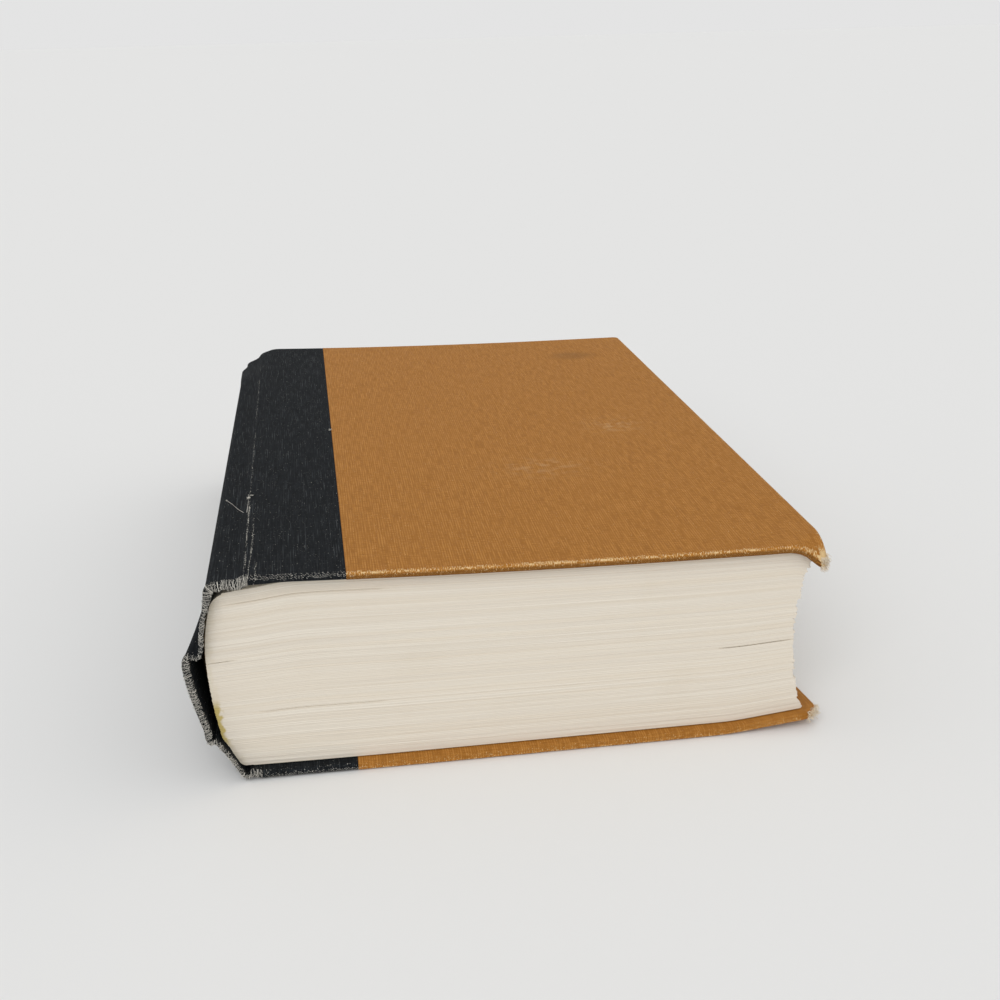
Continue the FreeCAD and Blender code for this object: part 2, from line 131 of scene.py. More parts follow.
@dataclass
class Cover:
    """The curved sheet that a cover follows, with its lengths in mm and angles in degrees.

    x is the distance from the board's spine-side edge, w the height outwards from the
    board's inner face. The sheet is bowed with one radius up to bow_length, then flat,
    and its tail corner is bent inwards round an arc of bump_radius and bump_angle, past a
    crease that cuts the corner bump mm from its point. Near the head the joint droops:
    it sinks by droop times s squared / (s + 4), with s the distance past a line 6 mm
    inside the board's edge.
    """

    front: bool
    bow_length: float
    bow_radius: float
    bump: float
    bump_radius: float
    bump_angle: float
    joint: float
    tip: float
    droop: float

    def place(self, x, y, w):
        """The point on the book of a point (x, y, w) of the sheet."""
        x, y, w = np.broadcast_arrays(*(np.asarray(a, float) for a in (x, y, w)))
        size = abs(self.bow_radius)
        turn = np.clip(self.bow_length - x, 0, self.bow_length) / size
        lift = turn * math.copysign(1, self.bow_radius)
        beyond = np.maximum(x - self.bow_length, 0) - np.maximum(-x, 0)
        px = self.bow_length - size * np.sin(turn) + beyond * np.cos(lift) + w * np.sin(lift)
        pz = self.bow_radius * (1 - np.cos(turn)) - beyond * np.sin(lift) + w * np.cos(lift)
        past = ((x - cover_width) - (y - tail)) / math.sqrt(2) + self.bump
        angle = math.radians(self.bump_angle)
        arc = self.bump_radius + w
        bend = np.arcsin(np.clip(past / arc, 0, math.sin(angle)))
        run = np.maximum(past - arc * math.sin(angle), 0) / math.cos(angle)
        bent = arc * np.cos(bend) - self.bump_radius - run * math.sin(angle)
        pz = np.where(past > 0, bent, pz)
        past_line = np.maximum(6.0 - x, 0)
        pz = pz - self.droop * past_line ** 2 / (past_line + 4.0) * smooth(*sag_span, y)
        if self.front:
            rise = front_height + self.bow_length * math.tan(front_slope)
            return np.stack([edge_x + px * math.cos(front_slope) + pz * math.sin(front_slope),
                             y, rise - px * math.sin(front_slope)
                             + pz * math.cos(front_slope)], -1)
        return np.stack([edge_x + px, y, board + cloth - pz], -1)


front = Cover(front=True, bow_length=119.0, bow_radius=2940.0, bump=8.0, bump_radius=5.5,
              bump_angle=50.0, joint=5.5, tip=3.0, droop=0.48)
back = Cover(front=False, bow_length=44.0, bow_radius=-3000.0, bump=21.0, bump_radius=40.0,
             bump_angle=8.5, joint=3.0, tip=4.6, droop=0.0)
front_hinge = front.place(-front.joint, 0, cloth)
back_hinge = back.place(-back.joint, 0, cloth)


# Meshes from grids of points
def grid_faces(rows, columns, ring=False):
    """Quads between neighbours of a rows by columns grid; ring joins last row to first."""
    r = np.arange(rows if ring else rows - 1)[:, None]
    c = np.arange(columns - 1)[None, :]
    a = r * columns + c
    b = (r + 1) % rows * columns + c
    return np.stack([a, a + 1, b + 1, b], -1).reshape(-1, 4)


def grid_part(points, ring=False, **values):
    """A part from a grid of points, with values per point that fit the grid."""
    part = {"points": points.reshape(-1, 3), "slot": 0,
            "faces": grid_faces(*points.shape[:2], ring)}
    for key, value in values.items():
        width = (3,) if key.endswith("_v") else ()
        full = np.broadcast_to(value, points.shape[:2] + width)
        part[key] = full.reshape((-1,) + width)
    return part


def on_cloth(u, v):
    """The cloth's own coordinates in metres, across and along its warp threads."""
    u, v = np.broadcast_arrays(u, v)
    return np.stack([u, v, 0 * u], -1) * MM


def make_piece(name, parts, materials, soft=True, weld=0.0):
    """One mesh object from several parts, with its normals turned outwards.

    Each part is a dict with points (n, 3) in millimetres, faces, slot (which of the
    materials) and any values per point: names ending in _v hold vectors.
    """
    names = sorted({key for part in parts for key in part} - {"points", "faces", "slot"})
    points = np.concatenate([part["points"] for part in parts]) * MM
    faces, slots, start = [], [], 0
    for part in parts:
        faces += (np.asarray(part["faces"]) + start).tolist()
        slots += [part.get("slot", 0)] * len(part["faces"])
        start += len(part["points"])
    mesh = bpy.data.meshes.new(name)
    mesh.from_pydata(points.tolist(), [], faces)
    mesh.polygons.foreach_set("material_index", np.array(slots, np.int32))
    for key in names:
        vector = key.endswith("_v")
        layer = mesh.attributes.new(key, "FLOAT_VECTOR" if vector else "FLOAT", "POINT")
        blank = (3,) if vector else ()
        values = [np.broadcast_to(part.get(key, np.zeros(blank)),
                                  (len(part["points"]),) + blank) for part in parts]
        flat = np.concatenate(values).astype(np.float32).ravel()
        layer.data.foreach_set("vector" if vector else "value", flat)
    edit = bmesh.new()
    edit.from_mesh(mesh)
    if weld:
        bmesh.ops.remove_doubles(edit, verts=edit.verts, dist=weld * MM)
    bmesh.ops.recalc_face_normals(edit, faces=edit.faces)
    edit.to_mesh(mesh)
    edit.free()
    mesh.polygons.foreach_set("use_smooth", np.full(len(mesh.polygons), soft))
    for material in materials:
        mesh.materials.append(material)
    made = bpy.data.objects.new(name, mesh)
    bpy.context.scene.collection.objects.link(made)
    return made


def threads(paths, radius, shade):
    """Thin three-sided threads along paths (n, k, 3), tapering towards their last point.

    Gives two parts: the threads' sides, and the small triangles that close their ends.
    """
    paths = np.asarray(paths, float)
    count, length, _ = paths.shape
    along = unit(np.gradient(paths, axis=1))
    side = unit(np.cross(along, np.random.default_rng(3).normal(size=(count, 1, 3))))
    other = np.cross(along, side)
    taper = np.linspace(1, 0.45, length)[None, :, None]
    radius = np.broadcast_to(np.asarray(radius, float), (count,))[:, None, None] * taper
    corner = np.arange(3)
    points = np.stack([paths + radius * (side * math.cos(a) + other * math.sin(a))
                       for a in corner * 2 * math.pi / 3], 2).reshape(-1, 3)
    first = np.arange(count) * length * 3
    last = first + (length - 1) * 3
    ring = first[:, None, None] + (np.arange(length - 1) * 3)[None, :, None]
    a, b = ring + corner, ring + (corner + 1) % 3
    ends = np.concatenate([first[:, None] + [2, 1, 0], last[:, None] + [0, 1, 2]]).ravel()
    tone = np.repeat(np.broadcast_to(shade, (count,)), length * 3)
    return [{"points": points, "faces": np.stack([a, b, b + 3, a + 3], -1).reshape(-1, 4),
             "shade": tone, "slot": 1},
            {"points": points[ends], "faces": np.arange(ends.size).reshape(-1, 3),
             "shade": tone[ends], "slot": 1}]


def loose_ends(roots, away, count, length, radius, shade, seed, droop=0.25):
    """Curling loose fibres: each starts at one of the roots, leaves along away with some
    scatter and drifts sideways as a random walk."""
    pick = np.random.default_rng(seed)
    which = pick.integers(0, len(roots), count)
    step = unit(away[which] + pick.normal(0, 0.55, (count, 3)))
    size = pick.uniform(0.35, 1, count)[:, None] * length / 4
    paths = [roots[which] - step * 0.1]
    for _ in range(4):
        paths.append(paths[-1] + step * size)
        step = unit(step + pick.normal(0, 0.45, (count, 3)) + np.array([0, 0, -droop]))
    tone = shade + pick.uniform(-0.3, 0.3, count)
    return threads(np.stack(paths, 1), radius * pick.uniform(0.7, 1.2, count), tone)


# The course of the dark cloth, from the front cover over the spine to the back cover.
# Each row is a height and a distance from the block's back in the middle of the spine,
# and then the same two at the open tail end, where the cloth stands away.
spine_course = np.array([(50.4, 1.9, 50.4, 1.9),
                         (47.4, 1.4, 47.4, 1.4),
                         (42.0, 1.15, 42.0, 1.2),
                         (38.8, 1.15, 38.8, 1.15),
                         (37.0, 1.2, 36.4, 1.15),
                         (35.9, 1.35, 34.6, 1.6),
                         (35.0, 1.6, 35.0, 2.8),
                         (34.1, 1.8, 35.3, 4.1),
                         (33.0, 1.85, 34.2, 5.05),
                         (31.0, 1.85, 31.0, 5.2),
                         (24.5, 1.85, 24.5, 4.4),
                         (19.7, 1.85, 19.7, 3.7),
                         (15.6, 1.85, 14.8, 3.1),
                         (13.4, 1.85, 12.2, 3.3),
                         (12.0, 1.65, 10.7, 2.7),
                         (10.9, 1.35, 11.1, 1.7),
                         (9.6, 1.15, 10.0, 1.15),
                         (7.2, 1.0, 7.2, 0.75),
                         (4.6, 0.9, 4.6, 0.65)])
# The rows that the card lies behind, and how deep the cloth's inner face is there
card_rows = (8, 13)
card_depth = 1.28
# The row where the front piece of the cloth ends and the back piece begins
seam_row = 10
# The cloth's height over the board and then over each joint, as (x, w) pairs
board_strip = [(25.4, 1.58), (24.4, 1.63), (22.0, 1.68), (16.0, 1.68), (10.0, 1.68),
               (5.0, 1.68), (2.2, 1.68), (0.9, 1.68), (0.1, 1.63)]
front_strip = board_strip + [(-0.5, 1.38), (-1.05, 0.93), (-1.6, 0.5), (-2.2, 0.32),
                             (-3.1, 0.28), (-4.1, 0.28), (-4.9, 0.27)]
back_strip = board_strip + [(-0.45, 1.4), (-0.9, 1.05), (-1.3, 0.75), (-1.8, 0.58),
                            (-2.4, 0.52)]
# How much further out the back joint lies at its open tail end
back_strip_lift = np.array([0.0] * 9 + [0.1, 0.35, 0.52, 0.62, 0.62])


def drift(y):
    """How far the spine has leaned towards the fore-edge at y."""
    return spine_skew * (y + half_cover) / (2 * half_cover)


def spine_x(z):
    """The block's rounded back at height z: two arcs that meet at the apex, and below
    the lower shoulder a straight slant towards the gutter."""
    z = np.asarray(z, float)
    radius = np.where(z > spine_apex[1], spine_upper_radius, spine_lower_radius)
    rise = np.maximum(z, lower_shoulder) - spine_apex[1]
    x = spine_apex[0] + radius - np.sqrt(radius ** 2 - rise ** 2)
    slant = lower_run / (lower_shoulder - (board + cloth + block_face))
    return x + np.maximum(lower_shoulder - z, 0) * slant


def spine_controls(y):
    """Points (rows, n, 2) of the cloth's outer face on the spine at each y.

    The course of the open tail end fades out over 62 mm, and a little of it comes back
    over the 45 mm by the head.
    """
    lean = drift(y)
    from_tail = np.clip(1 - (y + half_cover) / 62.0, 0, 1) ** 2
    from_head = np.clip(1 - (half_cover - y) / 45.0, 0, 1) ** 2
    share = (from_tail + 0.3 * from_head)[:, None]
    z = spine_course[:, 0] + share * (spine_course[:, 2] - spine_course[:, 0])
    out = spine_course[:, 1] + share * (spine_course[:, 3] - spine_course[:, 1])
    sag = smooth(*sag_span, y)[:, None]
    z = z - 4.7 * sag * smooth(34.0, 50.4, z)
    rows = np.stack([spine_x(z) + lean[:, None] - out, z], -1)
    flush = smooth(tail + 60, tail + 5, y)

    def by_hinge(x, z, sinking, table):
        return np.stack([np.stack([x - behind + part * lean + ahead * flush,
                                   z + up - down * sinking], -1)
                         for behind, up, part, ahead, down in table], 1)

    # Each row is a point's place behind and above the hinge, the part of the lean that it
    # takes, how far it moves ahead by the tail, and how far it sinks
    lead = by_hinge(front_hinge[0] - 0.2, front_hinge[2] - 0.3, sag[:, 0],
                    ((0.0, 0.0, 0.0, 0.0, 4.1),
                     (1.9, -0.15, 0.6, 0.0, 4.4),
                     (3.3, -1.05, 1.0, 0.0, 4.6)))
    foot = by_hinge(back_hinge[0] - 0.2, back_hinge[2] + 0.3, flush,
                    ((2.0, 0.75, 0.7, 0.1, 0.55),
                     (1.0, -0.1, 0.3, 0.05, 0.95),
                     (0.0, -0.8, 0.0, 0.0, 0.75)))
    return np.concatenate([lead, rows, foot], 1)


def inward(points, depth):
    """Points moved towards the block by their own depth, square to the course."""
    ahead = np.concatenate([points[:, 1:], points[:, -1:]], 1)
    behind = np.concatenate([points[:, :1], points[:, :-1]], 1)
    way = unit(ahead - behind)
    return points + np.stack([-way[..., 1], way[..., 0]], -1) * depth[None, :, None]


def strip_controls(form, strip, y, w):
    """Points (rows, n, 2) over a cover at heights w, in the strip's order."""
    x = np.array([a for a, _ in strip])
    placed = form.place(x[None, :], y[:, None], w)
    return placed[..., [0, 2]]


def course(y):
    """The cloth's outer face, its turned-in inner face and its single inner face.

    Each is (rows, n, 2) in x and z. The turned-in face lies under the board or the card,
    where the cloth's end is folded in; the single one where the cloth is not doubled.
    """
    spine = spine_controls(y)
    count = spine.shape[1]
    turned = np.full(count, 2 * cloth)
    turned[3 + card_rows[0]:3 + card_rows[1] + 1] = card_depth
    front_w = np.array([[w for _, w in front_strip]])
    back_w = np.array([w for _, w in back_strip])[None, :]
    back_w = back_w + smooth(tail + 60, tail + 5, y)[:, None] * back_strip_lift

    def whole(front_heights, middle, back_heights):
        over_front = strip_controls(front, front_strip, y, front_heights)
        over_back = strip_controls(back, back_strip, y, back_heights)
        return np.concatenate([over_front, middle, over_back[:, ::-1]], 1)

    return (whole(front_w, spine, back_w),
            whole(0 * front_w - cloth, inward(spine, turned), 0 * back_w - cloth),
            whole(front_w - cloth, inward(spine, np.full(count, cloth)), back_w - cloth))


def refined(points, steps):
    """A smooth curve through control points (rows, n, 2): span k gets steps[k] parts.

    Between two controls the curve is the usual cubic whose slope at each control is half
    the difference of that control's neighbours.
    """
    last = points.shape[1] - 1
    parts = []
    for k in range(last):
        a, b = points[:, k], points[:, k + 1]
        before, after = points[:, max(k - 1, 0)], points[:, min(k + 2, last)]
        t = (np.arange(steps[k]) / steps[k])[None, :, None]
        a, b, before, after = (q[:, None] for q in (a, b, before, after))
        parts.append(0.5 * (2 * a + (b - before) * t + (2 * before - 5 * a + 4 * b - after)
                            * t ** 2 + (3 * a - before - 3 * b + after) * t ** 3))
    parts.append(points[:, -1:])
    return np.concatenate(parts, 1)


def length_along(points):
    """Distance along a row of points, from its first point."""
    steps = np.linalg.norm(np.diff(points, axis=0), axis=1)
    return np.concatenate([[0], np.cumsum(steps)])


def loop_rows():
    """The closed way round the cloth from tail to head outside and back inside.

    Each row is (y, share of the depth, 1 where the cloth is folded in, fold place). The
    fold place runs from -1 to 1 through a fold and is 9 elsewhere.
    """
    near = tail + np.array([0.45, 0.7, 1.0, 1.35, 1.75, 2.3, 3.0, 4.0, 5.2])
    middle = np.linspace(tail + 6.4, half_cover - 6.4, 150)
    far_end = -near[::-1]
    outside = [(y, 0.0, 1, 9.0) for y in np.concatenate([near, middle, far_end])]
    shares = np.linspace(0, 1, 11)
    head_fold = [(half_cover, f, 1, 2 * f - 1) for f in shares]
    inside_head = [(half_cover - d, 1.0, 1, 9.0) for d in (0.6, 1.6, 4, 8, 12)]
    inside_head.append((half_cover - turn_in, 1.0, 1, 9.0))
    inner = [(y, 1.0, 0, 9.0) for y in np.linspace(half_cover - turn_in - 0.1,
                                                   tail + turn_in + 0.1, 24)]
    inside_tail = [(tail + d, 1.0, 1, 9.0) for d in (turn_in, 12, 9, 6.5, 4.5, 3, 1.6, 0.6)]
    tail_fold = [(tail, f, 1, 1 - 2 * f) for f in shares[::-1]]
    return np.array(outside + head_fold + inside_head + inner + inside_tail + tail_fold)


def dark_cloth_grid():
    """All of the dark cloth as a grid (loop rows, course columns, 3)."""
    rows = loop_rows()
    outer, folded, single = course(rows[:, 0])
    middle = outer[80]
    spans = np.linalg.norm(np.diff(middle, axis=0), axis=1)
    size = np.full(len(spans), 0.62)  # of one step along the course
    size[6:11] = 0.2  # finer by the crease, at the board's spine-side edge
    steps = np.maximum(1, np.round(spans / size)).astype(int)
    outer, folded, single = (refined(part, steps) for part in (outer, folded, single))
    columns = length_along(refined(middle[None], steps)[0])
    first = steps[:len(front_strip) - 8].sum()
    last = steps[:7 - len(back_strip)].sum()
    # Round the tail and between the boards' edges the folded cloth is thicker, most of
    # all where it bunches over the front joint
    thick_out = np.full(outer.shape[1], 0.12)
    thick_in = np.full(outer.shape[1], 0.35)
    over_joint = (columns > columns[first]) & (columns < columns[first] + 12.0)
    thick_out[over_joint], thick_in[over_joint] = 0.3, 1.5
    thick_in[last - 10:last] = 0.6
    for thick in (thick_out, thick_in):
        thick[:first], thick[last:] = 0.0, 0.0
    thick_in[:first] = 0.6 * smooth(columns[first] - 10, columns[first], columns[:first])
    for thick in (thick_out, thick_in):
        thick[:] = np.convolve(np.pad(thick, 4, "edge"), np.ones(9) / 9, "valid")
    near = bell(rows[:, 0] - tail, 1.9)[:, None]
    way = unit(folded - outer)
    outer = outer - way * (thick_out[None, :] * near)[..., None]
    folded = folded + way * (thick_in[None, :] * near)[..., None]
    inner = np.where(rows[:, 2][:, None, None] > 0.5, folded, single)
    share = rows[:, 1][:, None, None]
    flat = outer + share * (inner - outer)
    depth = np.linalg.norm(folded - outer, axis=2)
    bulge = np.minimum(0.45, depth / 2)
    place = np.clip(np.abs(rows[:, 3]), 0, 1)[:, None]
    full = 2.6  # how full the fold's outline is: 2 would make it round
    back_off = bulge * (1 - (1 - place ** full) ** (1 / full))
    in_fold = rows[:, 3][:, None] < 5
    sign = np.where(rows[:, 0] > 0, -1.0, 1.0)[:, None]
    y = rows[:, 0][:, None] + np.where(in_fold, sign * back_off, 0.0)
    seam = steps[:len(front_strip) + 3 + seam_row].sum()
    grid = np.stack([flat[..., 0], y, flat[..., 1]], -1)
    strip_x = np.full(grid.shape[1], -50.0)
    ahead = refined(np.array([front_strip]), steps[:len(front_strip) - 1])[0, :, 0]
    behind = refined(np.array([back_strip[::-1]]), steps[-(len(back_strip) - 1):])[0, :, 0]
    strip_x[:len(ahead)] = ahead
    strip_x[-len(behind):] = behind
    return rows, grid, columns, seam, strip_x


def dark_cloth_parts(grid, rows, columns, strip_x, is_front):
    """The cloth, the worn threads round its tail and head folds, and its loose fibres."""
    loop = length_along(grid[:, grid.shape[1] // 2])
    y = grid[..., 1]
    outside = (rows[:, 1] < 0.5)[:, None]
    ragged = wander(columns, 0.9, 21)
    wear = smooth(1.4, 0.2, half_cover + y + 0.35 * ragged)
    wear = wear * np.where(strip_x > 0.6, 0.04, 0.13)
    wear = np.maximum(wear, 0.12 * smooth(0.8, 0.1, half_cover - y + 0.3 * ragged))
    reach = 0.17 + 0.07 * smooth(-60, -72, y) if is_front else 0.17
    crease = bell(strip_x - 0.05 - 0.12 * wander(y, 5.0, 4), reach)
    if is_front:
        run = 0.2 * smooth(104, 60, y) + 0.14 * smooth(-58, -70, y)
        run = run - 0.09 * smooth(-82, -94, y)
        second = bell(strip_x - 1.5 + 0.5 * smooth(-95, -117, y), 0.2)
        joint_start = columns[strip_x < -48][0]
        rubbed = (crease * run * (0.75 + 0.3 * wander(y, 2.4, 5)),
                  second * smooth(-66, -90, y) * (0.22 + 0.1 * wander(y, 2.2, 6)),
                  bell(strip_x - 2.5, 0.2) * 0.28 * smooth(-105, -112, y),
                  bell(columns - joint_start - 4.6, 0.3) * 0.17 * smooth(-70, -84, y))
    else:
        rubbed = (0.2 * crease * (0.5 + 0.5 * wander(y, 4.0, 8)),)
    for mark in rubbed:
        wear = np.maximum(wear, outside * mark)
    parts = [grid_part(grid, True, wear=wear, pattern_v=on_cloth(columns, loop[:, None]))]

    order = np.arange(len(grid))
    tail_way = np.concatenate([order[-15:], order[:6]])
    fold_start = np.argmax(rows[:, 3] < 5)
    tail_fold, head_fold = grid[tail_way], grid[fold_start - 4:fold_start + 12]
    open_part = np.nonzero(strip_x <= 0.8)[0]
    start, end = columns[open_part[0]], columns[open_part[-1]]
    parts += fringe(tail_fold, columns, (start, end), spacing=0.62, stand=0.5, tone=0.8,
                    radius=0.085, seed=31)
    parts += fringe(tail_fold, columns, (start, end), spacing=0.55, stand=0.3, tone=0.25,
                    radius=0.06, seed=35)
    parts += fringe(head_fold, columns, (start, end), spacing=1.1, stand=0.15, tone=0.4,
                    radius=0.06, seed=32)
    if is_front:
        parts += fringe(tail_fold, columns, (start, start + 9.0), spacing=0.8, stand=0.6,
                        tone=1.0, radius=0.11, seed=36)
    over_board = columns[strip_x > 0.8]
    parts += specks(tail_fold, columns, (over_board[0], over_board[-1]), 33)
    spots = grid[tail_way[5:13]][:, open_part].reshape(-1, 3)
    outwards = np.broadcast_to(np.array([-0.2, -1.0, 0.0]), spots.shape)
    parts += loose_ends(spots, outwards, 260, 1.2, 0.05, 0.85, 41)
    if is_front:
        parts += scratches(grid, rows, columns)
    return parts


def on_grid(grid, row, column):
    """Points of a grid at fractional rows and columns, both arrays of one shape."""
    row = np.clip(row, 0, grid.shape[0] - 1.001)
    column = np.clip(column, 0, grid.shape[1] - 1.001)
    r, c = np.floor(row).astype(int), np.floor(column).astype(int)
    s, t = (row - r)[..., None], (column - c)[..., None]
    upper = grid[r, c] * (1 - t) + grid[r, c + 1] * t
    lower = grid[r + 1, c] * (1 - t) + grid[r + 1, c + 1] * t
    return upper * (1 - s) + lower * s


def fringe(fold, columns, span, spacing, stand, tone, radius, seed):
    """Worn warp threads that loop round a fold of the cloth.

    Each thread runs from one face round the fold to the other, stands off the cloth by a
    bell curve of its own height and sways sideways once on the way.
    """
    pick = np.random.default_rng(seed)
    at = np.arange(*span, spacing)
    at = at + pick.uniform(-0.3, 0.3, len(at)) * spacing
    column = np.interp(at, columns, np.arange(len(columns)))
    t = np.linspace(0, 1, 9)[None, :]
    first = pick.uniform(0.12, 0.32, len(at))[:, None]
    last = pick.uniform(0.68, 0.92, len(at))[:, None]
    row = (first + (last - first) * t) * (len(fold) - 1)
    sway = pick.uniform(-0.45, 0.45, len(at))[:, None] * np.sin(math.pi * t * 2)
    paths = on_grid(fold, row, column[:, None] + sway)
    core = on_grid(fold, np.full_like(row, 0.5 * len(fold)), column[:, None] + 0 * t)
    core[..., 1] += np.sign(-core[..., 1]) * 0.9
    away = unit(paths - core)
    height = stand * pick.uniform(0.15, 1.0, len(at))[:, None] * np.sin(math.pi * t)
    paths = paths + away * (height + 0.03)[..., None]
    paths += pick.normal(0, 0.03, paths.shape)
    shade = tone + pick.uniform(-0.35, 0.3, len(at))
    return threads(paths, radius * pick.uniform(0.7, 1.2, len(at)), shade)


def specks(fold, columns, span, seed):
    """Bare crossings of the weave on a fold: short bits of thread in five even rows."""
    pick = np.random.default_rng(seed)
    at = np.arange(*span, 0.62)
    count = len(at)
    at = np.concatenate([at, at + 0.3, at, at + 0.3, at])
    lane = np.repeat([0.43, 0.5, 0.57, 0.64, 0.71], count)
    keep = pick.uniform(0, 1, len(at)) < np.repeat([0.5, 0.7, 0.9, 0.85, 0.7], count)
    at, lane = at[keep], lane[keep]
    column = np.interp(at, columns, np.arange(len(columns)))
    t = np.linspace(0, 1, 3)[None, :]
    row = (lane + pick.normal(0, 0.012, len(at)))[:, None] * (len(fold) - 1) + 0.5 * t
    size = np.interp(at, columns, np.gradient(columns))
    paths = on_grid(fold, row, column[:, None] + 0.3 * t / size[:, None])
    paths[..., 1] += np.sign(paths[..., 1]) * 0.03
    paths[..., 2] += 0.03
    return threads(paths, 0.08, pick.uniform(0.2, 0.9, len(at)))


def scratches(grid, rows, columns):
    """A pulled thread across the joint, its tuft on the crease, and a nick further up."""
    outside = np.nonzero((rows[:, 1] < 0.01) & (rows[:, 3] > 5))[0]
    y_rows = rows[outside, 0]
    skin = grid[outside]
    index = np.arange(len(columns))

    def over(points, lift):
        row = np.interp([p[1] for p in points], y_rows, np.arange(len(y_rows)))
        spots = []
        for (x, _), r in zip(points, row):
            line = skin[int(round(r))]
            column = np.interp(-x, -line[line[:, 2] > 50.0, 0], index[line[:, 2] > 50.0])
            spots.append(on_grid(skin, np.array([r]), np.array([column]))[0])
        path = np.array(spots)
        path[:, 2] += lift
        return path

    pick = np.random.default_rng(81)
    parts = []
    pulls = [[(-70.3, -58.6), (-68.6, -62.9), (-66.9, -67.2), (-65.2, -71.2)],
             [(-64.3, -73.0), (-64.2, -69.2), (-64.1, -65.4), (-64.1, -61.5)]]
    for points in pulls:
        base = over(points, 0.12)
        copies = base[None] + pick.normal(0, 0.06, (2,) + base.shape)
        parts += threads(copies, 0.06, np.array([0.95, 0.7]))
    for place, count, length, tone in (((-64.1, -61.5), 22, 1.5, 0.95),
                                       ((-63.2, -60.0), 10, 1.2, 0.7),
                                       ((-70.3, -58.6), 8, 0.6, 0.9),
                                       ((-40.4, 1.5), 12, 1.6, 1.0)):
        root = over([place], 0.05)
        away = np.array([[0.1, 0.0, 0.8]])
        parts += loose_ends(root, away, count, length, 0.09, tone, 90 + count, droop=0.6)
    return parts


# The ochre cloth of a cover: a grid over the face and a band over its three free edges
def edge_profile(reach, outset):
    """(e, w) pairs from the face over the rounded edge to the turn-in's end.

    e is the distance outwards from the face grid's rim, w the height over the board's
    inner face. Outset is how far the skin stands off the cloth's nominal face.
    """
    top = board + cloth + outset
    low = -cloth - outset * 0.6
    side = reach + outset
    bend = 0.55
    under = 0.42
    pairs = [(e * (reach - 1.0), top) for e in (0.0, 0.4, 0.75, 1.0)]
    for a in np.radians([0, 18, 36, 54, 72, 90]):
        pairs.append((side - bend + bend * math.sin(a), top - bend + bend * math.cos(a)))
    pairs.append((side, (top + low) / 2))
    for a in np.radians([0, 30, 60, 90]):
        pairs.append((side - under + under * math.cos(a), low + under - under * math.sin(a)))
    pairs += [(e, low) for e in (1.2, 0.0, -1.5, -4.0, -8.0, reach - turn_in)]
    pairs.append((reach - turn_in, low + 0.2))
    return np.array(pairs)


def marks(x, y):
    """How strong the dark stain and the two pale scuffs on the front cover are."""
    stain = np.exp(-(((x - 55.2) / 8.5) ** 2 + ((y - 89.5) / 6.0) ** 2) ** 2)
    scuff = bell(x - 49.7, 7.0) * bell(y + 6.5, 7.0)
    return {"stain": stain, "scuff": scuff + 0.7 * bell(x - 20.2, 12.0) * bell(y + 45.0, 8.0)}


